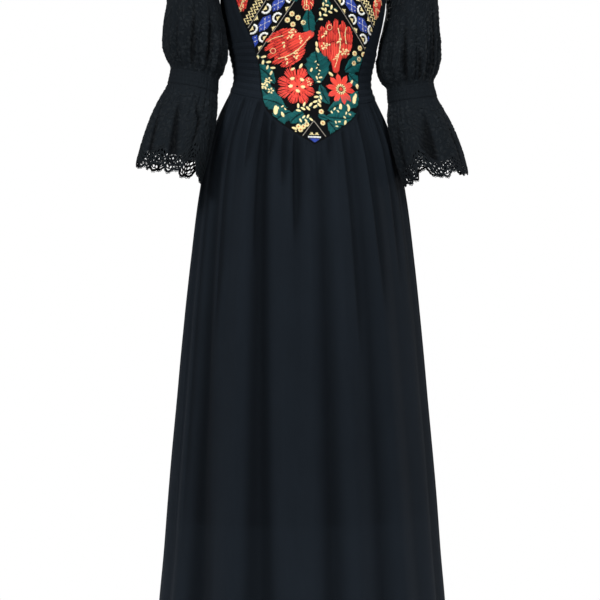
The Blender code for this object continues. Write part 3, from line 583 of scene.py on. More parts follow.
foldTable = {
    "turnTop": (-79, -64, -50, -32, -20, -11, 4, 27, 44, 68, 96, 113, 128, 146, 160, 171, -176, -160, -143,
                -124, -106),
    "turnHem": (-77, -55, -47, -26, -20, -9, 4, 26, 46, 66, 98, 111, 130, 143, 161, 175, -172, -157, -146,
                -121, -104),
    "depthTop": (0.001, 0.004, 0.004, 0.010, 0.006, 0.007, 0.005, 0.005, 0.002, 0.002,
                 0.002, 0.004, 0.007, 0.005, 0.009, 0.004, 0.006, 0.009, 0.004, 0.006, 0.003),
    "depthMiddle": (0.003, 0.009, 0.004, 0.014, 0.001, 0.003, 0.009, 0.006, 0.003, 0.004,
                    0.003, 0.007, 0.012, 0.002, 0.013, 0.002, 0.008, 0.012, 0.003, 0.010, 0.004),
    "depthHem": (0.005, 0.019, 0.002, 0.020, 0.000, 0.001, 0.013, 0.010, 0.005, 0.008,
                 0.004, 0.011, 0.018, 0.001, 0.019, 0.001, 0.013, 0.017, 0.002, 0.016, 0.006),
    "spreadTop": (4.0, 4.5, 4.0, 4.5, 3.0, 3.0, 4.0, 5.0, 5.0, 5.0, 4.5, 4.5, 4.5, 3.5, 4.5, 3.0, 4.5, 4.5,
                  3.5, 4.5, 4.5),
    "spreadHem": (5.0, 7.5, 5.0, 6.5, 4.0, 4.0, 5.5, 6.5, 6.0, 6.5, 5.0, 6.0, 7.0, 4.5, 6.5, 4.0, 6.0, 6.5,
                  5.0, 7.0, 5.5),
}
# crisp creases: where each starts and ends, how deep, and its steep and gentle sides in degrees
creaseTable = {
    "turnStart": (-41, -33.5, -27, -19, -12, 9, 18, 33, 52, -57, -72, -84, 60, 78, 84,
                  101, 119, 137, 152, 166, 178, -169, -152, -136, -116, -98),
    "turnEnd": (-42, -34, -27, -19, -12, 8, 20, 36, 50, -54, -66, -73, 62, 76, 82,
                104, 118, 138, 150, 168, 180, -170, -150, -137, -114, -96),
    "start": (0.0, 0.0, 0.0, 0.0, 0.0, 0.0, 0.02, 0.0, 0.0, 0.0, 0.06, 0.05, 0.0, 0.10, 0.08,
              0.0, 0.0, 0.0, 0.0, 0.0, 0.0, 0.0, 0.0, 0.0, 0.0, 0.0),
    "end": (0.16, 0.34, 0.14, 0.20, 0.30, 0.16, 0.55, 0.45, 0.40, 0.50, 0.95, 1.2, 0.60, 1.1, 1.2,
            0.5, 0.3, 0.6, 0.35, 0.7, 0.3, 0.55, 0.35, 0.65, 0.4, 0.5),
    "depth": (0.0034, 0.0030, 0.0030, 0.0030, 0.0036, 0.0018, 0.0020, 0.0030, 0.0022, 0.0026, 0.0016,
              -0.0030, 0.0020, 0.0018, -0.0030,
              0.002, 0.003, 0.002, 0.003, 0.002, 0.002, 0.003, 0.002, 0.003, 0.002, 0.002),
    "steep": (0.5, 0.6, 0.5, 0.6, 0.6, 0.8, 0.9, 0.7, 0.9, 0.8, 0.9, 0.7, 0.9, 0.9, 0.7,
              0.7, 0.6, 0.8, 0.6, 0.8, 0.7, 0.6, 0.7, 0.6, 0.8, 0.7),
    "gentle": (3.5, 3.5, 3.0, 3.0, 3.5, 3.0, 3.0, 4.0, 3.5, 3.5, 3.0, 1.2, 3.0, 3.0, 1.2,
               3.0, 3.5, 3.0, 3.5, 3.0, 3.0, 3.5, 3.0, 3.5, 3.0, 3.0),
}
# creaseShade is how much painted shade the crisp creases add
skirtChoices = {
    "frontColumns": 400, "backColumns": 220, "rows": 64, "foldMiddle": 0.35, "foldStart": 0.07,
    "pucker": 0.0010, "lip": 0.22, "deepen": 1.2, "creaseShade": 0.85,
}


def foldDepth(turn, drop, shade=False):
    # soft valleys from waist to hem, then crisp creases with one steep side, then small puckers at the seam
    cut = cutChoices
    share = np.clip((drop - cut["sideWaist"]) / (cut["hem"] - cut["sideWaist"]), 0.0, 1.0)
    below = drop - waistDrop(turn)
    total = 0.0
    for turnTop, turnHem, top, middle, hem, spreadTop, spreadHem in zip(*foldTable.values()):
        away = np.abs(aside(turn, blend(turnTop, turnHem, share)) / blend(spreadTop, spreadHem, share))
        depth = np.interp(share, (0.0, skirtChoices["foldMiddle"], 1.0), (top, middle, hem))
        lip = skirtChoices["lip"] * np.exp(-(((away - 1.8) / 0.75) ** 2))
        total = total + depth * (skirtChoices["deepen"] * np.exp(-(away**1.7)) - lip)
    total = total * ease(below / skirtChoices["foldStart"])
    crisp = 0.0
    for turnStart, turnEnd, start, end, depth, steep, gentle in zip(*creaseTable.values()):
        along = np.clip((share - start) / (end - start), 0.0, 1.0)
        away = aside(turn, blend(turnStart, turnEnd, along))
        away = np.where(away < 0, away / steep, away / gentle)
        fade = ease((share - start) / 0.04 + (start == 0.0)) * ease((end - share) / (0.45 * (end - start)))
        crisp = crisp + depth * fade * np.exp(-np.abs(away) ** 1.5)
    crisp = crisp * ease(below / 0.012)
    # with shade set, it returns the painted shade of the valleys and creases, from 0 to 1
    if shade:
        return np.clip(ease(total / 0.015) + skirtChoices["creaseShade"] * ease(crisp / 0.0018), 0.0, 1.0)
    pucker = skirtChoices["pucker"] * np.sin(np.radians(turn) * 46 + 2 * np.sin(np.radians(turn) * 7)) ** 2
    return total + crisp + pucker * ease(below / 0.010) * ease((0.09 - below) / 0.08)


def skirtAt(turn, drop):
    # the body form drawn in by its folds, level with the ground
    angle = np.radians(turn)
    outX = np.sin(angle) / smooth(bodyForm, "halfWidth", drop)
    outY = -np.cos(angle) / bodyDepth(angle, drop)
    size = np.hypot(outX, outY)
    flat = np.stack(np.broadcast_arrays(outX / size, outY / size, 0.0), axis=-1)
    return bodyAt(turn, drop) - flat * foldDepth(turn, drop)[..., None]


def makeSkirt(word, start, columns, back):
    turn = np.linspace(start, start + 180.0, columns + 1)[:, None]
    rows = np.linspace(0.0, 1.0, skirtChoices["rows"] + 1) ** 1.35
    drop = blend(waistDrop(turn) + cutChoices["waistGap"], cutChoices["hem"], rows)
    outer, inner = besideSeam(clothWall(skirtAt, turn + 0 * drop, drop), back)
    # painted shade, darker in the folds' valleys and crisp creases
    valleyShade = foldDepth(turn + 0 * drop, drop, shade=True)
    piece = clothShell("skirt_cloth_" + word, outer, inner, "skirtCrepe", valleyShade=valleyShade)
    return finishPiece(piece, ["skirt_" + word])


liningChoices = {
    "drop": (0.40, 0.43, 0.48, 0.55, 0.70, 0.94, sheerChoices["liningHem"]),
    "inset": (0.0027, 0.004, 0.012, 0.020, 0.026, 0.034, 0.040),
}


def makeLining(word, start, back):
    turn = np.linspace(start, start + 180.0, 61)[:, None]
    drop = np.linspace(liningChoices["drop"][0], liningChoices["drop"][-1], 41) + 0 * turn
    normal = facing(bodyAt, turn + 0 * drop, drop)
    inset = smooth(liningChoices, "inset", drop)[..., None]
    outer = bodyAt(turn + 0 * drop, drop) - normal * inset
    outer, inner = besideSeam([outer, outer - normal * cutChoices["cloth"]], back)
    piece = clothShell("lining_cloth_" + word, outer, inner, "lining")
    nodes = ["skirt_lining_" + word]
    return finishPiece(piece, nodes)


sleeveForm = {
    "ring": (0, 1, 2, 3, 4, 5, 6, 7, 8, 9, 10, 11, 12, 13, 14, 15),
    "outerOut": (0.170, 0.205, 0.232, 0.244, 0.250, 0.2535, 0.257, 0.257, 0.251, 0.244,
                 0.250, 0.261, 0.277, 0.289, 0.2985, 0.304),
    "outerDrop": (0.045, 0.050, 0.090, 0.146, 0.203, 0.255, 0.297, 0.332, 0.358, 0.378,
                  0.4055, 0.428, 0.458, 0.489, 0.520, 0.548),
    "innerOut": (0.156, 0.163, 0.163, 0.157, 0.150, 0.145, 0.1425, 0.145, 0.1505, 0.158,
                 0.160, 0.161, 0.164, 0.171, 0.180, 0.1905),
    "innerDrop": (0.198, 0.222, 0.250, 0.275, 0.300, 0.322, 0.343, 0.362, 0.381, 0.3945,
                  0.4205, 0.444, 0.475, 0.507, 0.541, 0.5715),
    "forward": (0.0, 0.0, 0.002, 0.005, 0.009, 0.013, 0.018, 0.022, 0.026, 0.030,
                0.033, 0.039, 0.048, 0.058, 0.067, 0.075),
    "halfDepth": (0.055, 0.063, 0.066, 0.067, 0.067, 0.066, 0.064, 0.059, 0.051, 0.042,
                  0.044, 0.050, 0.055, 0.057, 0.057, 0.058),
    "swing": (0.0, 0.0, 0.0, 0.0, 0.0, 0.0, 0.001, 0.002, 0.003, 0.004,
              0.004, 0.005, 0.006, 0.007, 0.008, 0.009),
    "gather": (0.0, 0.0028, 0.0016, 0.0, 0.0, 0.0008, 0.0018, 0.0026, 0.0022, 0.0004,
               0.0, 0.0, 0.0, 0.0, 0.0, 0.0),
    "fine": (0.0, 0.0010, 0.0007, 0.0002, 0.0002, 0.0004, 0.0008, 0.0012, 0.0012, 0.0002,
             0.0002, 0.0010, 0.0004, 0.0, 0.0, 0.0),
}
sleeveFolds = {
    "side": (1,) * 15 + (-1,) * 15,
    "turnStart": (112, 88, 52, 20, -35, -80, -125, 175, 83, 41, 143, -10, -60, -112, -160,
                  107, 72, 44, 140, -30, -75, -120, 178, 56, 86, 129, 20, -25, -75, -125),
    "turnEnd": (110, 80, 52, 22, -38, -84, -120, 172, 98, 41, 150, -15, -66, -118, -168,
                107, 75, 44, 136, -34, -80, -124, 174, 82, 112, 160, 38, -20, -70, -130),
    "ringStart": (3, 5, 3, 5, 3, 4, 3, 5, 10, 10, 10, 10, 10, 10, 10, 3, 3, 4, 5, 3, 4, 3, 5, 10, 10, 10,
                  10, 10, 10, 10),
    "ringDeep": (7, 8, 7, 7.5, 7, 7.5, 7, 7.5, 14.5, 13, 14, 15, 15, 15, 14,
                 6.5, 7, 7.5, 7.5, 7, 7.5, 7, 7.5, 14.5, 12.5, 14, 14, 15, 15, 15),
    "ringEnd": (9.3,) * 8 + (19, 17, 19, 19, 19, 19, 19) + (9.3,) * 8 + (19, 16, 19, 19, 19, 19, 19),
    "depth": (0.006, 0.006, 0.006, 0.004, 0.005, 0.004, 0.005, 0.003, 0.010, 0.004, 0.004, 0.006, 0.008,
              0.007, 0.005,
              0.007, 0.006, 0.004, 0.004, 0.005, 0.004, 0.004, 0.003, 0.010, 0.005, 0.005, 0.005, 0.006,
              0.009, 0.006),
    "spread": (8, 6, 8, 6, 9, 9, 10, 8, 13, 6, 9, 14, 14, 13, 12, 6, 8, 7, 7, 9, 9, 10, 8, 9, 6, 9, 9, 13,
               14, 13),
}
# how far the cloth is eased off its solid, by ring: inner side tucked in, outer side flared, cuff dropped
easeChoices = {
    "ring": (0, 1, 2, 3, 4, 5, 6, 7, 8, 9, 10, 11, 12, 13, 14, 15),
    "tuckLeft": (0, 0.003, 0.005, 0.005, 0.005, 0.004, 0.004, 0.005, 0.002, 0, 0.001, 0.004, 0.007, 0.009,
                 0.010, 0.008),
    "tuckRight": (0, 0.003, 0.005, 0.005, 0.003, 0.001, 0, 0, 0, 0, 0, 0, 0, 0, 0, 0),
    "flareLeft": (0,) * 16,
    "flareRight": (0,) * 12 + (0.0005, 0.002, 0.004, 0.007),
    "dropped": (0,) * 12 + (0.001, 0.003, 0.006, 0.010),
    "untuckedBehind": (165, 215),  # degrees of turn over which the tuck fades
}
cuffNotches = {
    "turn": (118, 63, 6, -45, -97, -150), "rise": (0.95, 0.38, 0.5, 0.6, 0.8, 0.6), "spread": (17, 12, 15,
             16, 18, 16),
}
sleeveChoices = {
    "gathers": 14, "sharpen": 1.35, "steep": 2.2, "riseRings": (11.0, 14.0), "ringGap": 0.006,
    "puffColumns": 180, "puffRows": 72, "cuffColumns": 180, "cuffRows": 44,
    "bandColumns": 240, "bandRibs": 4, "ribHeight": 0.0016,
}


def cuffRise(turn, ring):
    # rings that the cuff's hem rises between its points, straight between forty columns
    columns = np.linspace(0.0, 360.0, 41)
    total = 0.0
    for centre, rise, spread in zip(*cuffNotches.values()):
        total = total + rise * np.exp(-((aside(columns, centre) / spread) ** 2))
    start, full = sleeveChoices["riseRings"]
    return np.interp(np.mod(turn, 360), columns, total) * ease((ring - start) / (full - start))


def sleeveDrawn(turn, ring, side):
    # how far the folds draw the sleeve's cloth in
    total = 0.0
    for ofSide, turnStart, turnEnd, start, deep, end, depth, spread in zip(*sleeveFolds.values()):
        if ofSide == side:
            share = np.clip((ring - start) / (deep - start), 0.0, 1.0)
            away = aside(turn, blend(turnStart, turnEnd, share)) / spread
            away = np.where(away < 0, -away * sleeveChoices["steep"], away)
            across = np.exp(-(away ** sleeveChoices["sharpen"]) * 1.2)
            total = total + depth * ease(share) * ease((end - ring) / (end - deep)) * across
    return total


def sleeveValleyShade(turn, ring, side):
    # how far down a valley each place lies, from 0 to 1, used as painted shade
    return ease((sleeveDrawn(turn, ring, side) - 0.0004) / 0.0036)


def sleeveAt(turn, ring, side):
    # an ellipse at each ring, tilted from its outer to its inner side, waved and folded
    angle = np.radians(turn)
    drawn = sleeveDrawn(turn, ring, side)
    ring = ring - cuffRise(turn, ring)
    word = "Left" if side > 0 else "Right"
    outerOut = smooth(sleeveForm, "outerOut", ring) + smooth(easeChoices, "flare" + word, ring)
    full, none = easeChoices["untuckedBehind"]
    tucked = smooth(easeChoices, "tuck" + word, ring) * ease((none - np.mod(turn, 360)) / (none - full))
    innerOut = smooth(sleeveForm, "innerOut", ring) - tucked
    dropped = smooth(easeChoices, "dropped", ring)
    outerDrop = smooth(sleeveForm, "outerDrop", ring) + dropped
    innerDrop = smooth(sleeveForm, "innerDrop", ring) + dropped
    wave = smooth(sleeveForm, "gather", ring) * np.cos(sleeveChoices["gathers"] * angle)
    fine = np.cos(33 * angle + 1.3 * np.sin(5 * angle) + side)
    fine = fine + 0.6 * np.cos(51 * angle + 2.1 * np.sin(3 * angle))
    wave = wave + smooth(sleeveForm, "fine", ring) * fine
    sag = 0.0012 * np.sin(3 * angle + ring * 1.7 + side) * np.sin(ring * 2.3 + 2 * angle)
    wave = wave + sag * ease(ring / 2) * ease((9 - ring) / 2)
    reach = np.hypot(outerOut - innerOut, outerDrop - innerDrop) / 2
    grown = 1 + (wave - drawn) / reach
    swing = side * smooth(sleeveForm, "swing", ring)
    x = (outerOut + innerOut) / 2 + (outerOut - innerOut) / 2 * np.cos(angle) * grown - swing
    drop = (outerDrop + innerDrop) / 2 + (outerDrop - innerDrop) / 2 * np.cos(angle) * grown
    y = -smooth(sleeveForm, "forward", ring) - smooth(sleeveForm, "halfDepth", ring) * np.sin(angle) * grown
    return np.stack([x, y, -drop], axis=-1)


def sleeveTop(turn):
    # the armhole's edge, straight between its corners as the bodice is cut
    frontColumns = np.array((0, 3, 5, 7, 9, 11, 12, 13, 14))
    backColumns = np.array((0, 3, 5, 7, 9, 11, 14))
    frontTurn, frontDrop = armholeEdge(frontColumns)
    backTurn, backDrop = armholeEdge(backColumns, behind=True)
    corners = np.concatenate([bodyAt(frontTurn, frontDrop), bodyAt(180 - backTurn, backDrop)[::-1]])
    columns = np.concatenate([frontColumns, 28 - backColumns[::-1]])
    column = np.mod(turn, 360) / 360 * 28
    start = np.stack([np.interp(column, columns, corners[:, axis]) for axis in range(3)], axis=-1)
    return start + np.array([0.0005, 0.0, 0.0])


def sleeveSet(turn, ring, side):
    # the sleeve with its first ring drawn onto the armhole
    toArmhole = sleeveTop(turn) - sleeveAt(turn, 0.0, side)
    return sleeveAt(turn, ring, side) + toArmhole * (np.clip(1 - ring, 0.0, 1.0) ** 2)[..., None]


def makeTube(name, side, columns, ring, raised=0.0):
    turn = np.linspace(0.0, 360.0, columns, endpoint=False)[:, None]
    ring = ring + 0 * turn

    def surface(u, v):
        return sleeveSet(u, v, side)

    outer, inner = clothWall(surface, turn + 0 * ring, ring, raised, -0.001)
    mirror = np.array([side, 1, 1])
    # painted shade, darker in the sleeve's fold valleys
    valleyShade = sleeveValleyShade(turn, ring, side)
    return clothShell(name, outer * mirror, inner * mirror, "worked", wrap=True, valleyShade=valleyShade)


def makeSleeve(word, side):
    c = sleeveChoices
    rings = np.linspace(0.0, 9.0 - c["ringGap"], c["puffRows"] + 1)
    puff = makeTube("puff_cloth_" + word, side, c["puffColumns"], rings)
    nodes, hungFrom = ["sleeve_puff_" + word], ["panel_cloth", "back_cloth"]
    finishPiece(puff, nodes)
    turn = np.linspace(0.0, 360.0, c["bandColumns"], endpoint=False)[:, None]
    v = np.linspace(0.0, 1.0, 5 * c["bandRibs"] + 1)
    around = np.radians(turn)
    gather = 0.5 + 0.3 * np.sin(around * 58 + 2.4 * np.sin(around * 7 + 3 * v))
    gather = gather + 0.2 * np.sin(around * 37 + 3 + 2 * v)
    rib = c["ribHeight"] * (0.25 + 0.30 * np.sin(np.pi * v * c["bandRibs"]) ** 2 + 0.75 * gather)
    rib = rib * np.sin(np.pi * v) ** 0.3
    rings = blend(9 + c["ringGap"], 10 - c["ringGap"], v)
    band = makeTube("band_cloth_" + word, side, c["bandColumns"], rings, rib)
    finishPiece(band, ["sleeve_band_" + word])
    rings = np.linspace(10 + c["ringGap"], 14 - c["ringGap"], c["cuffRows"] + 1)
    cuff = makeTube("cuff_cloth_" + word, side, c["cuffColumns"], rings)
    nodes, lace = ["cuff_flounce_" + word], makeLace(word, side)
    finishPiece(cuff, nodes)
    print("sleeve made:", word)


def bodyFlat(x, drop):
    # the body form read by its width from the centre instead of its turn
    share = np.clip(x / smooth(bodyForm, "halfWidth", drop), -0.995, 0.995)
    return bodyAt(np.degrees(np.arcsin(share)), drop)


def onPanel(x, drop, height):
    spot = bodyFlat(x, drop)
    alongX = bodyFlat(x + 0.0004, drop) - bodyFlat(x - 0.0004, drop)
    alongDrop = bodyFlat(x, drop - 0.0004) - bodyFlat(x, drop + 0.0004)
    normal = np.cross(alongX, alongDrop)
    normal /= np.linalg.norm(normal, axis=-1, keepdims=True)
    return leanOver(spot + normal * height[..., None] + [0.0, -cutChoices["seamGap"] / 2, 0.0])


# every stitch is start x, start drop, end x, end drop, bow, width, height, lift and tone
stitches = {key: [] for key in threadChoices}


def sew(key, start, end, width=0.0017, bow=0.0, height=0.0010, lift=0.0, tone=0.5):
    start, end = np.broadcast_arrays(np.asarray(start, float), np.asarray(end, float))
    start, end = start.reshape(-1, 2), end.reshape(-1, 2)
    rest = [np.asarray(k, float).ravel() for k in (bow, width, height, lift, tone)]
    rest = np.broadcast_arrays(start[:, 0], *rest)[1:]
    stitches[key].append(np.column_stack([start, end, *rest]))


def heading(degrees):
    # unit vectors on the panel: 0 towards the wearer's left, 90 down
    angle = np.radians(degrees)
    return np.stack([np.cos(angle), np.sin(angle)], axis=-1)


def sewLine(key, points, width=0.0015, height=0.0010, lift=0.0, tone=0.5):
    # a line of stitches end to end through the given places
    points = np.asarray(points, float)
    sew(key, points[:-1], points[1:] + (points[1:] - points[:-1]) * 0.12, width, 0.0, height, lift, tone)


def curve(start, end, bow, steps):
    # a shallow arc between two places
    t = np.linspace(0, 1, steps + 1)[:, None]
    start, end = np.asarray(start, float), np.asarray(end, float)
    side = np.array([-(end - start)[1], (end - start)[0]])
    return start + (end - start) * t + side * bow * 4 * t * (1 - t)


def sewSeeds(centre, radius, count, size, lift, seed):
    # short fat stitches scattered round a centre
    n = np.arange(count)
    angle = n * 137.5 + seed
    spot = np.asarray(centre) + heading(angle) * (radius * np.sqrt((n + 0.5) / count))[:, None]
    end = spot + heading(angle * 1.7) * size
    sew("cream", spot, end, size * 0.75, 0.0, 0.0010, lift, 0.6 + 0.3 * stray(n, seed))


motifChoices = {"berry": 0.0042, "knot": 0.0011, "leafPitch": 0.0021, "sprigLeaf": 0.0085, "tufts": 5}


def sewBerry(centre):
    # nine cream stitches round an orange knot
    turn = np.arange(9) * 40.0
    centre = np.asarray(centre, float)
    spoke = heading(turn) * motifChoices["berry"]
    tone = 0.6 + 0.25 * stray(turn)
    sew("cream", centre + spoke * 0.35, centre + spoke * 1.15, 0.0026, 0.0, 0.0011, 0.0, tone)
    knot = np.array([motifChoices["knot"], 0.0])
    sew("orange", centre - knot, centre + knot, 0.0024, 0.0, 0.0014, 0.0003, 0.5)


def sewLeaf(start, end, width, bow, notch=0.25):
    # satin stitches slanting from a curved midrib to a notched rim, on both sides
    pitch = motifChoices["leafPitch"]
    start, end = np.asarray(start, float), np.asarray(end, float)
    length = np.linalg.norm(end - start)
    count = max(int(length / pitch), 4)
    t = (np.arange(count) + 0.5) / count
    spine = curve(start, end, bow, 60)
    rib = np.stack([np.interp(t, np.linspace(0, 1, 61), spine[:, k]) for k in range(2)], 1)
    forward = (end - start) / length
    sideways = np.array([-forward[1], forward[0]])
    reach = width / 2 * np.sin(np.pi * t**0.8) ** 0.75 * (1 - notch * np.abs(np.sin(t * np.pi * 4.5)))
    for hand in (-1, 1):
        tip = rib + sideways * (hand * reach)[:, None] + forward * (0.45 * reach)[:, None]
        tone = 0.45 + 0.4 * stray(t * 50, hand)
        sew("teal", rib + sideways * hand * 0.0005, tip, pitch * 1.08, hand * 0.05 * reach, 0.0010, 0.0, tone)


def sewWedge(start, end, width, lift=0.0):
    # a small cream leaf of three stitches
    start, end = np.asarray(start, float), np.asarray(end, float)
    side = np.array([-(end - start)[1], (end - start)[0]])
    side = side / np.linalg.norm(side) * width * 0.28
    middle, long = start + (end - start) * 0.10, (end - start) * 0.86
    ends = np.stack([middle + long - side * 0.4, end, middle + long + side * 0.4])
    bow = np.array([-0.85, 0.0, 0.85]) * np.linalg.norm(side)
    tone = 0.55 + 0.3 * stray(np.arange(3), start[0] * 99)
    sew("cream", np.stack([start, start, start]), ends, width * 0.42, bow, 0.0012, lift, tone)


def sewSprig(start, end, leaves, bow, size=motifChoices["sprigLeaf"]):
    # leaves in turn along an arched stem
    path = curve(start, end, bow, leaves + 1)
    sewLine("teal", path, 0.0012, 0.0008)
    for n in range(1, leaves + 1):
        forward = path[n] - path[n - 1]
        forward /= np.linalg.norm(forward)
        sideways = np.array([-forward[1], forward[0]]) * (1 if n % 2 else -1)
        sewWedge(path[n], path[n] + (forward * 0.6 + sideways * 0.8) * size, size * 0.48)


# tiers have a level, scallops, a phase and a height; veins a start, an end, a place, a bow and a width
peonyChoices = {
    "pitch": 0.0050, "fan": 0.22, "middle": 0.60, "neck": (0.17, 0.37),
    "tiers": ((-0.34, 4, 0.3, -0.08), (-0.12, 3, 0.6, 0.12), (0.10, 4, 0.2, 0.12), (0.24, 0, 0.0, 0.17)),
    "veins": ((0.10, 0.84, -0.10, -0.36, 0.0020), (0.55, 0.86, 0.62, 0.10, 0.0014)),
    "seeds": ((0.40, 0.52, 0.0078, 13), (0.50, -0.62, 0.0070, 10), (0.30, 0.0, 0.0050, 6),
              (0.72, -0.62, 0.0050, 5), (0.62, 0.22, 0.0040, 4)),
}


def strokePairs(pairs):
    # places from -1 to 1 for strokes laid two by two
    return (((np.arange(pairs) + 0.5) / pairs * 2 - 1)[:, None] + np.array([-0.21, 0.21]) * 2 / pairs).ravel()


def sewPeony(base, toward, length, wide, lobes, seed=0.0):
    # a blossom from the side: a round lobed body of nearly level strokes in three tiers,
    # with a narrow neck petal over it
    c = peonyChoices
    base, forward, side = np.asarray(base, float), heading(toward), heading(toward + 90)
    pairs = int(sum(wide) / c["pitch"])
    t = strokePairs(pairs)

    def at(u, t, narrow=1.0):
        # u runs from the neck to the rim, t across
        reach = np.where(t < 0, wide[0], wide[1]) * narrow * (1 - c["fan"] * (1 - u))
        return base + forward * (length * u)[..., None] + side * (t * reach)[..., None]

    def tier(t, n):
        # where each tier ends along the body, scalloped: 0 is the side near the neck and 3 the rim
        level, count, phase, scallop = c["tiers"][n]
        rounded = np.sqrt(np.clip(1 - 0.92 * t * t, 0.0, 1.0))
        wave = np.abs(np.sin(np.pi * (count + (n == 3) * lobes) * (t + 1) / 2 + phase)) ** 0.6
        return c["middle"] + (level + scallop * wave) * rounded

    for n in (1, 2, 3):
        near = tier(t, n - 1) + 0.014
        far = tier(t, n) + 0.012 * stray(t * 31, n, seed)
        bow = 0.0004 * stray(np.round(t * pairs), n)
        tone = 0.60 + 0.36 * stray(np.round(t * pairs * 0.5), n, seed)
        sew("coral", at(near, t), at(far, t), 0.0021, bow, 0.0013, 0.0, tone)
        if n < 3:
            run = np.linspace(-0.96, 0.96, 26)
            sewLine("rose", at(tier(run, n) + 0.008, run), 0.0018, 0.0011, 0.0005, 0.3)
    # the neck petal, its strokes running together at the base
    t = np.linspace(-0.9, 0.9, 7)
    thin, thick = c["neck"]
    near, far = at(0.03 * t * t, t, thin), at(0.50 - 0.12 * t * t, t, thick)
    sew("coral", near, far, 0.0022, 0.0, 0.0013, 0.0008, 0.6 + 0.3 * stray(t, seed))
    for hand in (-1.0, 1.0):
        u = np.linspace(0.04, 0.50, 9)
        sewLine("rose", at(u, hand * (thin + (thick - thin) * u / 0.5)), 0.0016, 0.0011, 0.0008, 0.3)
    # cream veins, a ringed curl on the rim and thick patches of seeds
    for near, far, start, bowed, width in c["veins"]:
        u = np.linspace(near, far, 14)
        bent = bowed * np.sin(np.pi * (u - near) / (far - near) * 0.8) * (1 if seed % 2 else -1)
        sewLine("cream", at(u, start + bent), width, 0.0011, 0.0014, 0.65)
    turn = np.linspace(0, 360, 10)
    curl = at(np.array(0.85), np.array(-0.12 + 0.3 * np.sin(seed * 2)))
    sewLine("cream", curl + heading(turn) * 0.0046, 0.0013, 0.0010, 0.0012, 0.5)
    sewLine("rose", curl + heading(turn) * 0.0024, 0.0018, 0.0011, 0.0012, 0.4)
    for u, t, radius, count in c["seeds"]:
        spot = at(np.array(u), np.array(t))
        sewSeeds(spot, radius * length / 0.09, count, 0.0040 * length / 0.09, 0.0012, seed * 40 + count)


def sewRound(centre, radius, petals, turnedBy, seed):
    # an open blossom: an outer and an inner ring of round petals, with cream tufts in its heart
    centre = np.asarray(centre, float)
    for layer, (size, count, shift) in enumerate(((1.0, petals, 0.0), (0.60, petals - 2, 23.0))):
        for petal in range(count):
            middle = turnedBy + shift + petal * 360 / count
            half = 180 / count
            pairs = max(int(2 * np.radians(half) * radius * size * 0.74 / 0.0042), 2)
            t = strokePairs(pairs)
            rim = radius * size * (1 - 0.20 * np.abs(t) ** 2.2 + 0.10 * stray(petal, seed, layer))
            inside = 0.50 if layer == 0 else 0.12
            near = rim * (inside + 0.04 * stray(t * 9, seed))
            start = centre + heading(middle + t * half * 0.86) * near[:, None]
            end = centre + heading(middle + t * half * 0.93) * rim[:, None]
            stroke = np.round(t * pairs)
            bow, tone = 0.0005 * stray(stroke, petal), 0.58 + 0.36 * stray(stroke, petal, layer)
            sew("coral", start, end, 0.0020, bow, 0.0013, 0.0007 * layer, tone)
            if layer:
                arc = np.linspace(-1.0, 1.0, 9)
                out = radius * size * (1.05 - 0.20 * np.abs(arc) ** 2.2)
                edge = centre + heading(middle + arc * half) * out[:, None]
                sewLine("rose", edge, 0.0017, 0.0011, 0.0006, 0.3)
    tufts = motifChoices["tufts"]
    for n in range(tufts):
        spot = centre + heading(n * 360 / tufts + turnedBy) * radius * (0.34 + 0.05 * stray(n, seed))
        turn = 270 + 50 * stray(n, seed, 3)
        for lean in (-32, 0, 32):
            sewWedge(spot, spot + heading(turn + lean) * radius * 0.20, 0.0040, lift=0.0016)
    sewSeeds(centre + heading(turnedBy - 40) * radius * 0.66, radius * 0.17, 8, 0.0030, 0.0011, seed * 9)


def sewDaisy(centre, radius, petals, turnedBy):
    # separate pointed petals of three stitches, a cream ring and a coral eye
    centre = np.asarray(centre, float)
    for petal in range(petals):
        middle = turnedBy + petal * 360 / petals + 4 * stray(petal)
        forward = heading(middle)
        side = heading(middle + 90)
        t = np.array([-1.6, -0.8, 0.0, 0.8, 1.6])
        start = centre + forward * radius * 0.30 + side * (t * 0.0013)[:, None]
        end = centre + forward * (radius * (1 - 0.09 * np.abs(t)))[:, None] + side * (t * 0.0019)[:, None]
        sew("coral", start, end, 0.0021, t * 0.0009, 0.0012, 0.0, 0.6 + 0.3 * stray(t, petal))
    turn = np.arange(14) * 360 / 14
    near, far = centre + heading(turn) * radius * 0.17, centre + heading(turn + 12) * radius * 0.36
    sew("cream", near, far, 0.0021, 0.0, 0.0012, 0.0006, 0.6)
    spoke = heading(turn[::2]) * radius
    sew("coral", centre + spoke * 0.02, centre + spoke * 0.13, 0.0022, 0.0, 0.0013, 0.0004, 0.6)


bandChoices = {
    "start": {1: (-0.013, 0.158), -1: (0.0, 0.151)}, "forward": {1: (0.635, 0.772), -1: (0.515, 0.857)},
    "halfWidth": (0.0245, 0.0180), "length": 0.25, "lozenges": 6, "first": 0.047, "pitch": 0.040,
    "halfLong": 0.0160, "halfWide": 0.0088,
    "specks": ((-0.72, 0.0), (-0.36, -0.50), (-0.36, 0.50), (0.0, 0.0), (0.36, -0.50), (0.36, 0.50), (0.72,
               0.0)),
}


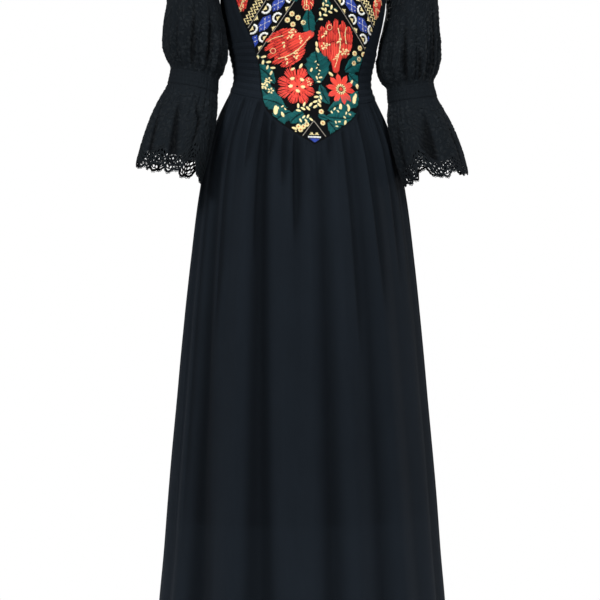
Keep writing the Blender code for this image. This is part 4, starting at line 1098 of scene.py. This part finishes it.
def sewBand(hand):
    # a slanting border: lozenges in a row, hooks and triangles beside them, a line on each side and a zigzag
    c = bandChoices
    flip = np.array([hand, 1.0])
    start, forward = np.array(c["start"][hand]), np.array(c["forward"][hand])
    outward = np.array([forward[1], -forward[0]])

    def at(s, q):
        # s metres along the band, q across it from its inner edge at -1 to its outer edge at 1
        s, q = np.broadcast_arrays(np.asarray(s, float), np.asarray(q, float))
        wide = blend(*c["halfWidth"], s / c["length"])
        return (start + forward * s[..., None] + outward * (q * wide)[..., None]) * flip

    run = np.linspace(0.0, c["length"], 50)
    for edge in (-1.0, 1.0):
        sewLine("grey", at(run, edge), 0.0013, 0.0009)
    for n in range(c["lozenges"]):
        middle = c["first"] + n * c["pitch"]
        wide = blend(*c["halfWidth"], middle / c["length"])
        halfLong, halfWide = c["halfLong"], c["halfWide"] / wide
        t = np.linspace(-0.95, 0.95, 15)
        full = halfWide * np.minimum(1.0, (1.04 - np.abs(t)) / 0.62)
        near, far = at(middle + halfLong * t, -full), at(middle + halfLong * t, full)
        sew("blue", near, far, 0.0025, 0.0, 0.0011, 0.0, 0.5 + 0.35 * stray(t * 9, middle))
        for lean in (-1, 1):
            run = middle + halfLong * np.array([-0.62, 0.0, 0.62])
            cross = halfWide * 0.62 * lean * np.array([-1.0, 0.0, 1.0])
            sewLine("white", at(run, cross), 0.0007, 0.0007, 0.0008, 0.3)
        speck = np.array(c["specks"])
        spot = at(middle + halfLong * speck[:, 0], halfWide * speck[:, 1])
        half = forward * flip * 0.0009
        sew("cream", spot - half, spot + half, 0.0019, 0.0, 0.0010, 0.0009, 0.7)
        for side in (-1, 1):
            # a white hook bends round a small cream triangle, half a step on from the lozenge
            bend = np.radians(np.linspace(-118, 118, 9))
            centre = middle + c["pitch"] * 0.5 - 0.0015 * side
            hook = at(centre + 0.0080 * np.sin(bend), side * (0.60 - 0.33 * np.cos(bend)))
            sewLine("white", hook, 0.0042, 0.0013, 0.0, 0.6)
            tri = np.array([-0.0040, -0.0020, 0.0, 0.0020, 0.0040])
            tall = 0.26 * (1 - np.abs(tri) / 0.0052)
            for place, base, width in ((centre, 0.76, 0.0022), (middle, 0.92, 0.0021)):
                near, far = at(place + tri, side * base), at(place + tri, side * (base - tall))
                sew("cream", near, far, width, 0.0, 0.0011, 0.0, 0.6)
    step = np.arange(72)
    for near in (1.12, 1.44):
        zigzag = at(0.010 + step * 0.0034, near + 0.28 * (step % 2))
        sewLine("cream", zigzag, 0.0014, 0.0010, 0.0, 0.55 + 0.2 * stray(step[:-1]))


leafTable = {
    "startX": (-0.012, 0.012, 0.014, -0.064, -0.050, -0.040, -0.018, -0.006, -0.066, 0.062, 0.070, 0.028,
               0.024, 0.027, 0.062, 0.008, -0.010, 0.012, -0.030),
    "startDrop": (0.268, 0.398, 0.400, 0.432, 0.446, 0.452, 0.452, 0.462, 0.400, 0.372, 0.376, 0.447,
                  0.458, 0.467, 0.432, 0.456, 0.246, 0.254, 0.244),
    "endX": (-0.005, 0.004, 0.030, -0.100, -0.090, -0.070, -0.042, -0.026, -0.104, 0.106, 0.094, 0.098,
             0.092, 0.046, 0.090, 0.026, -0.030, 0.028, -0.040),
    "endDrop": (0.316, 0.342, 0.434, 0.384, 0.430, 0.472, 0.472, 0.476, 0.366, 0.352, 0.390, 0.424, 0.452,
                0.494, 0.406, 0.462, 0.232, 0.262, 0.256),
    "width": (0.027, 0.050, 0.021, 0.036, 0.036, 0.032, 0.024, 0.018, 0.024, 0.032, 0.024, 0.032, 0.032,
              0.027, 0.020, 0.013, 0.016, 0.012, 0.014),
    "bow": (0.05, 0.04, 0.08, -0.10, 0.10, 0.10, 0.08, 0.06, 0.08, -0.10, 0.10, -0.08, 0.06, -0.06, 0.06,
            0.0, 0.06, -0.06, 0.05),
}
berryTable = {
    "x": (-0.0412, -0.0484, -0.0303, -0.0385, -0.0201, 0.0912, 0.0805, 0.0997, 0.0896, 0.0794, 0.0145,
          0.0166, -0.0130, -0.0246, -0.0191, -0.0280),
    "drop": (0.2781, 0.2889, 0.2844, 0.2961, 0.2923, 0.3281, 0.3387, 0.3379, 0.3474, 0.3557, 0.4494,
             0.4698, 0.4737, 0.4837, 0.4780, 0.4780),
}
# cream sprigs: both ends, the leaves on each and its arch
sprigTable = {
    "startX": (0.003, 0.006, -0.100, -0.068, -0.036, -0.030, 0.018, 0.026, 0.036, 0.006, 0.005, -0.074,
               0.050),
    "startDrop": (0.290, 0.268, 0.346, 0.440, 0.452, 0.462, 0.412, 0.446, 0.478, 0.352, 0.398, 0.396, 0.456),
    "endX": (0.040, 0.022, -0.068, -0.046, -0.002, -0.004, 0.008, 0.054, 0.046, 0.015, 0.012, -0.086, 0.070),
    "endDrop": (0.264, 0.252, 0.383, 0.444, 0.442, 0.460, 0.442, 0.440, 0.462, 0.384, 0.384, 0.412, 0.446),
    "leaves": (7, 4, 7, 3, 6, 5, 7, 4, 3, 5, 3, 5, 3),
    "arch": (-0.10, 0.10, -0.06, 0.10, -0.14, 0.10, 0.12, 0.08, 0.06, 0.05, 0.06, 0.12, 0.08),
    "size": (0.0088, 0.0080, 0.0090, 0.0060, 0.0095, 0.0085, 0.0095, 0.0070, 0.0070, 0.0050, 0.0080,
             0.0075, 0.0070),
}
# single cream leaves: place, heading and length
wedgeTable = {
    "x": (0.005, 0.005, 0.030, -0.001, -0.019, -0.032, -0.066, -0.057, 0.081, 0.078, 0.086, 0.083, 0.064,
          0.068, 0.052, 0.060, 0.044, 0.058, -0.040, -0.034),
    "drop": (0.324, 0.334, 0.376, 0.370, 0.364, 0.372, 0.440, 0.452, 0.414, 0.386, 0.392, 0.410, 0.432,
             0.436, 0.432, 0.462, 0.484, 0.476, 0.480, 0.486),
    "turn": (80, 60, 40, 110, 120, 150, 95, 70, 100, 120, 70, 95, 60, 100, 95, 100, 110, 60, 20, 60),
    "long": (0.010, 0.011, 0.011, 0.009, 0.010, 0.009, 0.019, 0.011, 0.018, 0.009, 0.014, 0.011, 0.011,
             0.010, 0.012, 0.011, 0.011, 0.007, 0.010, 0.007),
}


# above the border, given for one side and drawn on both
upperChoices = {
    "rounds": (((0.106, 0.190), 0.027, 7), ((0.120, 0.130), 0.022, 6)),
    "bud": (0.122, 0.222),
    "leaves": (((0.090, 0.176), (0.070, 0.150), 0.020), ((0.104, 0.172), (0.094, 0.140), 0.020),
               ((0.132, 0.188), (0.136, 0.160), 0.014), ((0.118, 0.108), (0.108, 0.076), 0.018),
               ((0.130, 0.108), (0.142, 0.072), 0.018), ((0.132, 0.226), (0.140, 0.252), 0.014)),
    "sprigs": (((0.092, 0.130), (0.076, 0.092), 6), ((0.118, 0.070), (0.116, 0.036), 6),
               ((0.062, 0.128), (0.084, 0.118), 4)),
    "berries": ((0.096, 0.080), (0.104, 0.062), (0.094, 0.058), (0.128, 0.054), (0.136, 0.062)),
}


def drawEmbroidery():
    for hand in (-1, 1):
        sewBand(hand)
    for startX, startDrop, endX, endDrop, width, bow in zip(*leafTable.values()):
        sewLeaf((startX, startDrop), (endX, endDrop), width, bow, notch=0.16)
    # two large blossoms seen from the side, an open one, a daisy, and a small tulip under the border's peak
    sewPeony((0.000, 0.308), 150.0, 0.092, (0.036, 0.036), 5, 1.0)
    sewPeony((0.044, 0.377), 267.0, 0.094, (0.036, 0.037), 5, 2.0)
    sewRound((-0.028, 0.4055), 0.0345, 8, 20.0, 3.0)
    sewDaisy((0.0535, 0.4055), 0.029, 10, 8.0)
    sewPeony((-0.013, 0.226), 92.0, 0.047, (0.012, 0.012), 2, 4.0)
    for x, drop in zip(*berryTable.values()):
        sewBerry((x, drop))
    for startX, startDrop, endX, endDrop, leaves, arch, size in zip(*sprigTable.values()):
        sewSprig((startX, startDrop), (endX, endDrop), leaves, arch, size)
    for x, drop, turn, long in zip(*wedgeTable.values()):
        spot = np.array([x, drop])
        sewWedge(spot, spot + heading(turn) * long, long * 0.42 + 0.0008, lift=0.0004)
    for centre in ((-0.084, 0.404), (-0.074, 0.414), (-0.077, 0.395)):
        for n in range(5):
            spot = np.array(centre) + heading(n * 72.0) * 0.0014
            sewWedge(spot, spot + heading(n * 72.0) * 0.0048, 0.0032, lift=0.0004)
    # the small framed lozenge in the point
    for hand in (-1, 1):
        sewLine("grey", curve((0.000, 0.4665), (0.021 * hand, 0.4945), 0.0, 8), 0.0014, 0.0010, 0.0002)
        tri = np.array([-0.0032, -0.0011, 0.0011, 0.0032])
        across, tall = 0.0046 * hand + tri, 0.0062 * (1 - np.abs(tri) / 0.0042)
        near, far = np.stack([across, 0 * tri + 0.4925], 1), np.stack([across, 0.4925 - tall], 1)
        sew("cream", near, far, 0.0020, 0.0, 0.0011, 0.0, 0.6)
    bar = np.linspace(-0.0105, 0.0105, 9)
    near, far = np.stack([bar, 0 * bar + 0.4945], 1), np.stack([bar, 0 * bar + 0.4982], 1)
    sew("white", near, far, 0.0025, 0.0, 0.0012, 0.0, 0.6)
    step = np.linspace(0.0, 1.0, 5)
    across, drop = 0.0090 * (1 - step), 0.5000 + 0.0066 * step
    near, far = np.stack([-across, drop], 1), np.stack([across + 0.0006, drop], 1)
    sew("blue", near, far, 0.0021, 0.0, 0.0011, 0.0, 0.5)
    # above the border: a blossom on each breast, leaves and sprigs up to the neck and shoulders
    for hand in (-1, 1):
        flip = np.array([hand, 1.0])
        for n, (centre, radius, petals) in enumerate(upperChoices["rounds"]):
            sewRound(np.array(centre) * flip, radius, petals, 15.0 * hand + 30 * n, 5.0 + n + hand)
        sewPeony(np.array(upperChoices["bud"]) * flip, 90.0 - 14 * hand, 0.056, (0.016, 0.016), 3, 6.0 + hand)
        for start, end, width in upperChoices["leaves"]:
            sewLeaf(np.array(start) * flip, np.array(end) * flip, width, 0.08 * hand)
        for start, end, count in upperChoices["sprigs"]:
            sewSprig(np.array(start) * flip, np.array(end) * flip, count, 0.1 * hand)
        for spot in upperChoices["berries"]:
            sewBerry(np.array(spot) * flip)
    print("embroidery drawn:", sum(len(k) for rows in stitches.values() for k in rows), "stitches")


def insidePanel(x, drop, margin=0.0016):
    edge = panelSeam(drop)
    wide = smooth(bodyForm, "halfWidth", drop)
    turn = np.degrees(np.arcsin(np.clip(x / wide, -1.0, 1.0)))
    neck = cutChoices["neckFront"] * np.clip(1 - (x / cutChoices["neckHalfWidth"]) ** 2, 0.0, 1.0)
    besideEdge = np.abs(x) < wide * np.sin(np.radians(edge)) - margin
    aboveWaist = drop < waistDrop(turn) - margin * 1.4
    belowNeckline = (drop > neck + margin * 2) & (np.abs(turn) < 84)
    return (besideEdge | (drop > cutChoices["pointCorner"])) & aboveWaist & belowNeckline


def tubeFaces(near, far):
    # the faces between neighbouring rings of points
    return np.stack([near, far, np.roll(far, -1, 2), np.roll(near, -1, 2)], -1).reshape(-1, 4)


def makeThread(key):
    # each stitch is a low ridge: five stations along it, four corners across, rounded at both ends
    rows = np.concatenate(stitches[key])
    start, end = rows[:, :2].copy(), rows[:, 2:4].copy()
    for near, far in ((start, end), (end, start)):
        outside = ~insidePanel(near[:, 0], near[:, 1])
        inner = insidePanel(far[:, 0], far[:, 1])
        low, high = np.zeros(len(rows)), np.ones(len(rows))
        for _ in range(7):
            middle = (low + high) / 2
            spot = near + (far - near) * middle[:, None]
            isIn = insidePanel(spot[:, 0], spot[:, 1])
            low, high = np.where(isIn, low, middle), np.where(isIn, middle, high)
        near[:] = np.where((outside & inner)[:, None], near + (far - near) * high[:, None], near)
    length = np.linalg.norm(end - start, axis=1)
    keep = insidePanel(*start.T, 0.0012) & insidePanel(*end.T, 0.0012) & (length > 0.0008)
    rows, start, end, length = rows[keep], start[keep], end[keep], length[keep]
    bow, width, height, lift, tone = rows[:, 4:].T
    forward = (end - start) / length[:, None]
    sideways = np.stack([-forward[:, 1], forward[:, 0]], 1)
    t = np.array([0.0, 0.16, 0.5, 0.84, 1.0])
    shape = np.array([0.40, 0.92, 1.0, 0.92, 0.40])
    crown = np.array([0.25, 0.90, 1.0, 0.90, 0.25])
    q = np.array([-0.5, -0.27, 0.27, 0.5])
    up = np.array([0.0, 1.0, 1.0, 0.0])
    arch = sideways[:, None] * (bow[:, None] * 4 * t * (1 - t))[..., None]
    line = start[:, None] + (end - start)[:, None] * t[:, None] + arch
    spot = line[:, :, None] + sideways[:, None, None] * (width[:, None, None] * shape[:, None] * q)[..., None]
    sunk = (lift * 0.5 - 0.0003)[:, None, None] * (1 - up)
    tall = (lift + height)[:, None, None] * crown[:, None] * up + sunk
    points = onPanel(spot[..., 0], spot[..., 1], tall)
    count = len(rows)
    n = np.arange(count * 20).reshape(count, 5, 4)
    quads = np.concatenate([tubeFaces(n[:, :-1], n[:, 1:]), n[:, 0], n[:, -1, ::-1]])
    place = np.broadcast_arrays(length[:, None, None] * t[:, None] + 0 * q, width[:, None, None] * q)
    place = np.stack(place, -1).reshape(-1, 2)
    points, tone = points.reshape(-1, 3), np.repeat(tone, 20)
    made = putMesh("floss_" + key, points, quads, materials[key], place[quads], tone)
    return made


def cords(paths, normals, radius, closed=False, sides=4):
    # round cords along many paths at once, each with its own frame from the surface's normals
    count, steps = paths.shape[:2]
    tangent = np.roll(paths, -1, 1) - np.roll(paths, 1, 1) if closed else np.gradient(paths, axis=1)
    tangent /= np.linalg.norm(tangent, axis=-1, keepdims=True)
    sideways = np.cross(tangent, normals)
    sideways /= np.linalg.norm(sideways, axis=-1, keepdims=True)
    up = np.cross(sideways, tangent)
    angle = np.arange(sides) * 2 * np.pi / sides + np.pi / 4
    radius = np.broadcast_to(radius, (count,))[:, None, None, None]
    ring = np.cos(angle)[:, None] * sideways[:, :, None] + np.sin(angle)[:, None] * up[:, :, None]
    points = (paths[:, :, None] + radius * ring).reshape(-1, 3)
    n = np.arange(count * steps * sides).reshape(count, steps, sides)
    if closed:
        quads = tubeFaces(n, np.roll(n, -1, 1))
    else:
        quads = np.concatenate([tubeFaces(n[:, :-1], n[:, 1:]), n[:, 0], n[:, -1, ::-1]])
    along = np.cumsum(np.linalg.norm(np.diff(paths, axis=1), axis=-1), 1)
    along = np.concatenate([np.zeros((count, 1)), along], 1)[:, :, None]
    place = np.stack(np.broadcast_arrays(along + 0 * angle, angle * 0.0004 + 0 * along), -1).reshape(-1, 2)
    return points, quads, place[quads], np.full(len(points), 0.5), np.zeros(len(points))


def joinParts(name, parts, material):
    # several sets of points, faces, places, tones and painted valley shades as one mesh
    points, quads, place, tone, valleyShade = zip(*parts)
    shift = np.cumsum([0] + [len(p) for p in points[:-1]])
    quads = np.concatenate([q + s for q, s in zip(quads, shift)])
    fields = [np.concatenate(field) for field in (place, tone, valleyShade)]
    made = putMesh(name, np.concatenate(points), quads, materials[material], *fields)
    return made


laceChoices = {
    "cord": 0.00118, "heavy": 0.0016, "loopCord": 0.00062, "girth": 0.385, "height": 0.029, "sunk": -0.0006,
    "rings": 68, "ringRadius": 0.0028, "rows": (14.22, 14.44, 14.66),
    "scallops": 20, "rim": 14.73, "scallopHeight": 0.19, "loops": 5, "loopRadius": 0.0017,
    "headers": ((14.012, 0.0010), (14.07, 0.0010), (14.125, 0.0010), (14.33, 0.0005), (14.55, 0.0005)),
}


def onSleeve(side, turn, ring, height):
    # points of one sleeve moved out by a height, mirrored for the right
    def surface(u, v):
        return sleeveSet(u, v, side)

    normal = facing(surface, turn, ring, -0.001)
    mirror = np.array([side, 1, 1])
    spot = surface(turn, ring) + normal * np.asarray(height)[..., None]
    return leanOver(spot * mirror), normal * mirror


def makeLace(word, side):
    # header cords, three staggered rows of rings joined by bars, a scalloped cord and small loops
    c = laceChoices
    perTurn = 360 / c["girth"]  # degrees a metre round the cuff's end
    perRing = 1 / c["height"]
    parts = []

    def lay(turn, ring, radius, closed):
        parts.append(cords(*onSleeve(side, turn, ring, c["sunk"] + 0 * turn), radius, closed))

    def rimAt(turn):
        return c["rim"] + c["scallopHeight"] * np.abs(np.sin(np.radians(turn) * c["scallops"] / 2))

    def layLoops(turn, ring, reach, steps, radius):
        # small circles round the given places
        around = np.linspace(0, 2 * np.pi, steps, endpoint=False)[None, :]
        lay(turn + reach * perTurn * np.cos(around), ring + reach * perRing * np.sin(around), radius, True)

    loop = np.linspace(0, 360, 320, endpoint=False)[None, :]
    for ring, radius in c["headers"]:
        lay(loop, ring + 0 * loop, radius, True)
    for row, ring in enumerate(c["rows"]):
        centre = (np.arange(c["rings"])[:, None] + 0.5 * (row % 2)) * 360 / c["rings"]
        layLoops(centre, ring, c["ringRadius"], 12, c["cord"])
    bars = np.linspace(0, 1, 4)[None, :]
    for row, ring in enumerate(c["rows"]):
        centre = (np.arange(c["rings"])[:, None] + 0.5 * (row % 2) + 0.5) * 360 / c["rings"]
        lay(centre + 0 * bars, ring - 0.10 + 0.21 * bars, c["cord"] * 0.9, False)
    lay(loop, rimAt(loop), c["heavy"], True)
    lay(loop, rimAt(loop) - 0.055, c["cord"] * 0.9, True)
    place = np.arange(c["scallops"])[:, None] + (np.arange(c["loops"]) + 0.5) / c["loops"]
    place = place.reshape(-1, 1) * 360 / c["scallops"]
    layLoops(place, rimAt(place) + 0.045, c["loopRadius"], 8, c["loopCord"])
    made = joinParts("lace_edge_" + word, parts, "laceCord")
    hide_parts(f"cuff_lace_{word}_front", f"cuff_lace_{word}_back")
    return made


# each field of flowers: first ring, last ring, flowers in a row, rows
workingChoices = {
    "fields": ((0.9, 8.6, 10, 9), (10.6, 13.9, 9, 5)), "size": 0.0165, "height": 0.0008, "stem": 0.0006,
}


def makeWorking(word, side):
    # black floss on the black cotton: rows of small five-petalled flowers with leaves and curling stems
    c = workingChoices
    flowers = []
    for first, last, around, rows in c["fields"]:
        for row in range(rows):
            ring = blend(first, last, (row + 0.5) / rows)
            for n in range(around):
                turn = (n + 0.5 * (row % 2)) * 360 / around + 5 * stray(n, row, side)
                size = c["size"] * (1 + 0.12 * stray(row, n, 3))
                flowers.append((turn, ring + 0.05 * stray(row, n), 60 * stray(n, row), size))
    turn, ring, spin, size = np.array(flowers).T

    def local(dx, dy, height):
        # metres beside each flower's centre, as turn and ring, with the painted valley shade there
        at, _ = onSleeve(side, turn, ring, 0 * turn)
        atTurn, _ = onSleeve(side, turn + 1, ring, 0 * turn)
        atRing, _ = onSleeve(side, turn, ring + 0.1, 0 * turn)
        perTurn = 1 / np.linalg.norm(atTurn - at, axis=-1)
        perRing = 0.1 / np.linalg.norm(atRing - at, axis=-1)
        shape = (len(turn),) + (1,) * (dx.ndim - 1)
        cosine, sine = np.cos(np.radians(spin)).reshape(shape), np.sin(np.radians(spin)).reshape(shape)
        x, y = dx * cosine - dy * sine, dx * sine + dy * cosine
        atTurn = turn.reshape(shape) + x * perTurn.reshape(shape)
        atRing = ring.reshape(shape) + y * perRing.reshape(shape)
        return *onSleeve(side, atTurn, atRing, height), sleeveValleyShade(atTurn, atRing, side)

    # petals and leaves as fat stitches: place, direction, length and width in sizes of the flower
    shapes = [(0.20, a, 0.62, 0.44, 0) for a in np.arange(5) * 72.0 + 18]
    shapes += [(1.05, a, 0.55, 0.30, 28) for a in (0, 60, 120, 180, 240, 300)]
    shapes += [(1.32, a, 0.38, 0.22, -60) for a in (30, 90, 150, 210, 270, 330)]
    r, a, long, wide, slant = np.array(shapes).T
    sx, sy = r * np.cos(np.radians(a)), r * np.sin(np.radians(a))
    fx, fy = np.cos(np.radians(a + slant)), np.sin(np.radians(a + slant))
    t = np.array([0.0, 0.22, 0.6, 1.0])
    shape = np.array([0.25, 0.85, 1.0, 0.35])
    q = np.array([-0.5, -0.25, 0.25, 0.5])
    up = np.array([0.0, 1.0, 1.0, 0.0])
    sx, sy, fx, fy, long, wide = (k[:, None, None] for k in (sx, sy, fx, fy, long, wide))
    dx = sx + fx * (long * t[:, None]) - fy * (wide * shape[:, None] * q)
    dy = sy + fy * (long * t[:, None]) + fx * (wide * shape[:, None] * q)
    sizes = size[:, None, None, None]
    height = c["height"] * np.array([0.5, 1.0, 1.0, 0.5])[:, None] * up - 0.0003 * (1 - up)
    height = np.broadcast_to(height, (len(turn), *dx.shape))
    points, _, deep = local(dx[None] * sizes, dy[None] * sizes, height)
    count = len(turn) * len(shapes)
    n = np.arange(count * 16).reshape(count, 4, 4)
    quads = np.concatenate([tubeFaces(n[:, :-1], n[:, 1:]), n[:, 0], n[:, -1, ::-1]])
    place = np.stack([t[:, None] * 0.009 + 0 * q, 0.004 * q + 0 * t[:, None]], -1)
    place = np.broadcast_to(place, (count, 4, 4, 2)).reshape(-1, 2)
    tone = np.repeat(0.45 + 0.25 * stray(np.arange(count), side), 16)
    parts = [(points.reshape(-1, 3), quads, place[quads], tone, deep.ravel())]
    # one curling stem through each flower
    s = np.linspace(-1.0, 1.0, 11)
    dx, dy = 1.75 * s, 0.45 * np.sin(s * 3.4)
    height = np.full((len(turn), 11), 0.0002)
    paths, normals, deep = local(dx[None] * size[:, None], dy[None] * size[:, None], height)
    parts.append((*cords(paths, normals, c["stem"])[:4], np.repeat(deep.ravel(), 4)))
    return joinParts("sleeve_working_" + word, parts, "blackFloss")


bindingChoices = {"radius": 0.0025, "sides": 12, "steps": 150}


def makeBinding():
    # a round roll along the neckline, resting on the cloth's edge
    c = bindingChoices
    turn, drop = neckPoint(np.linspace(-90.0, 270.0, c["steps"], endpoint=False))
    edge = bodyAt(turn, drop)
    normal = facing(bodyAt, turn, drop)
    up = bodyAt(turn, drop - 0.002) - edge
    up /= np.linalg.norm(up, axis=-1, keepdims=True)
    centre = leanOver(edge + up * (c["radius"] + cutChoices["seamGap"]) - normal * 0.00075)
    parts = [cords(centre[None], normal[None], c["radius"], True, c["sides"])]
    made = joinParts("neck_roll", parts, "crepe")
    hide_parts("neck_binding")
    return made


runningChoices = {
    "dash": 0.0032, "gap": 0.0016, "radius": 0.00028, "arch": (-0.0003, 0.00025, 0.00025, -0.0003),
}


def makeSeamStitching():
    # running stitches beside the seams and above the hem
    c = runningChoices
    rows = []

    def add(points, normals):
        length = np.concatenate([[0.0], np.cumsum(np.linalg.norm(np.diff(points, axis=0), axis=1))])
        starts = np.arange(0.001, length[-1] - c["dash"], c["dash"] + c["gap"])
        at = starts[:, None] + np.linspace(0, c["dash"], 4)
        picked = [np.interp(at, length, field[:, k]) for field in (points, normals) for k in range(3)]
        spot, normal = np.stack(picked[:3], -1), np.stack(picked[3:], -1)
        rows.append(cords(spot + normal * np.array(c["arch"])[:, None], normal, c["radius"]))

    turn = np.linspace(-89.0, 89.0, 500)
    for back in (False, True):
        around = 180 - turn if back else turn
        shift = np.array([0.0, 0.00015 if back else -0.00015, 0.0])
        for drop in (waistDrop(around) + 0.0045, np.full(500, cutChoices["hem"] - 0.022)):
            add(leanOver(skirtAt(around, drop) + shift), facing(skirtAt, around, drop))
    drop = np.linspace(0.235, 0.425, 200)
    inset = panelSeam(drop) - 0.9
    for side in (-1, 1):
        mirror = np.array([side, 1, 1])
        add(leanOver(bodyAt(inset, drop) * mirror), facing(bodyAt, inset, drop) * mirror)
        for ring in (9.94, 10.06, 13.93):
            turns = np.linspace(0, 360, 400)
            add(*onSleeve(side, turns, ring + 0 * turns, 0 * turns + (0.0006 if ring < 10 else 0.0)))
    neckTurn, neckDrop = neckPoint(np.linspace(-90, 270, 400))
    spot = bodyAt(neckTurn, neckDrop + 0.005)
    add(leanOver(spot), facing(bodyAt, neckTurn, neckDrop + 0.005))
    return joinParts("seam_stitching", rows, "seamThread")


def makeFloor():
    c = floorChoices
    turn = np.linspace(0, 2 * np.pi, c["sides"], endpoint=False)
    mesh = bpy.data.meshes.new("floor")
    rim = np.stack([c["radius"] * np.cos(turn), c["radius"] * np.sin(turn), 0 * turn + c["height"]], 1)
    mesh.from_pydata(rim.tolist(), [], [list(range(c["sides"]))])
    looks = Looks("paleFloor")
    pale = {"Base Color": (0.9, 0.9, 0.9, 1.0), "Roughness": 0.9, "Specular IOR Level": 0.1}
    mesh.materials.append(looks.finish(pale))
    floor = bpy.data.objects.new("floor", mesh)
    bpy.context.scene.collection.objects.link(floor)


bpy.context.scene.view_settings.view_transform = "Standard"
makeCamera()
makeLights()
makeSky()
makeFloor()
print("camera, lights and floor made")

makeFrontPanel()
makeBack()
makeBackShirring()
makeBinding()
for word, side in (("right", -1), ("left", 1)):
    makeSideFront(word, side)
    makeFrontShirring(word, side)
    makeSleeve(word, side)
makeSkirt("front", -90.0, skirtChoices["frontColumns"], False)
makeSkirt("back", 90.0, skirtChoices["backColumns"], True)
makeLining("front", -90.0, False)
makeLining("back", 90.0, True)
print("cloth pieces made")

drawEmbroidery()
for key in threadChoices:
    makeThread(key)
for word, side in (("right", -1), ("left", 1)):
    makeWorking(word, side)
makeSeamStitching()
print("threads and lace made")
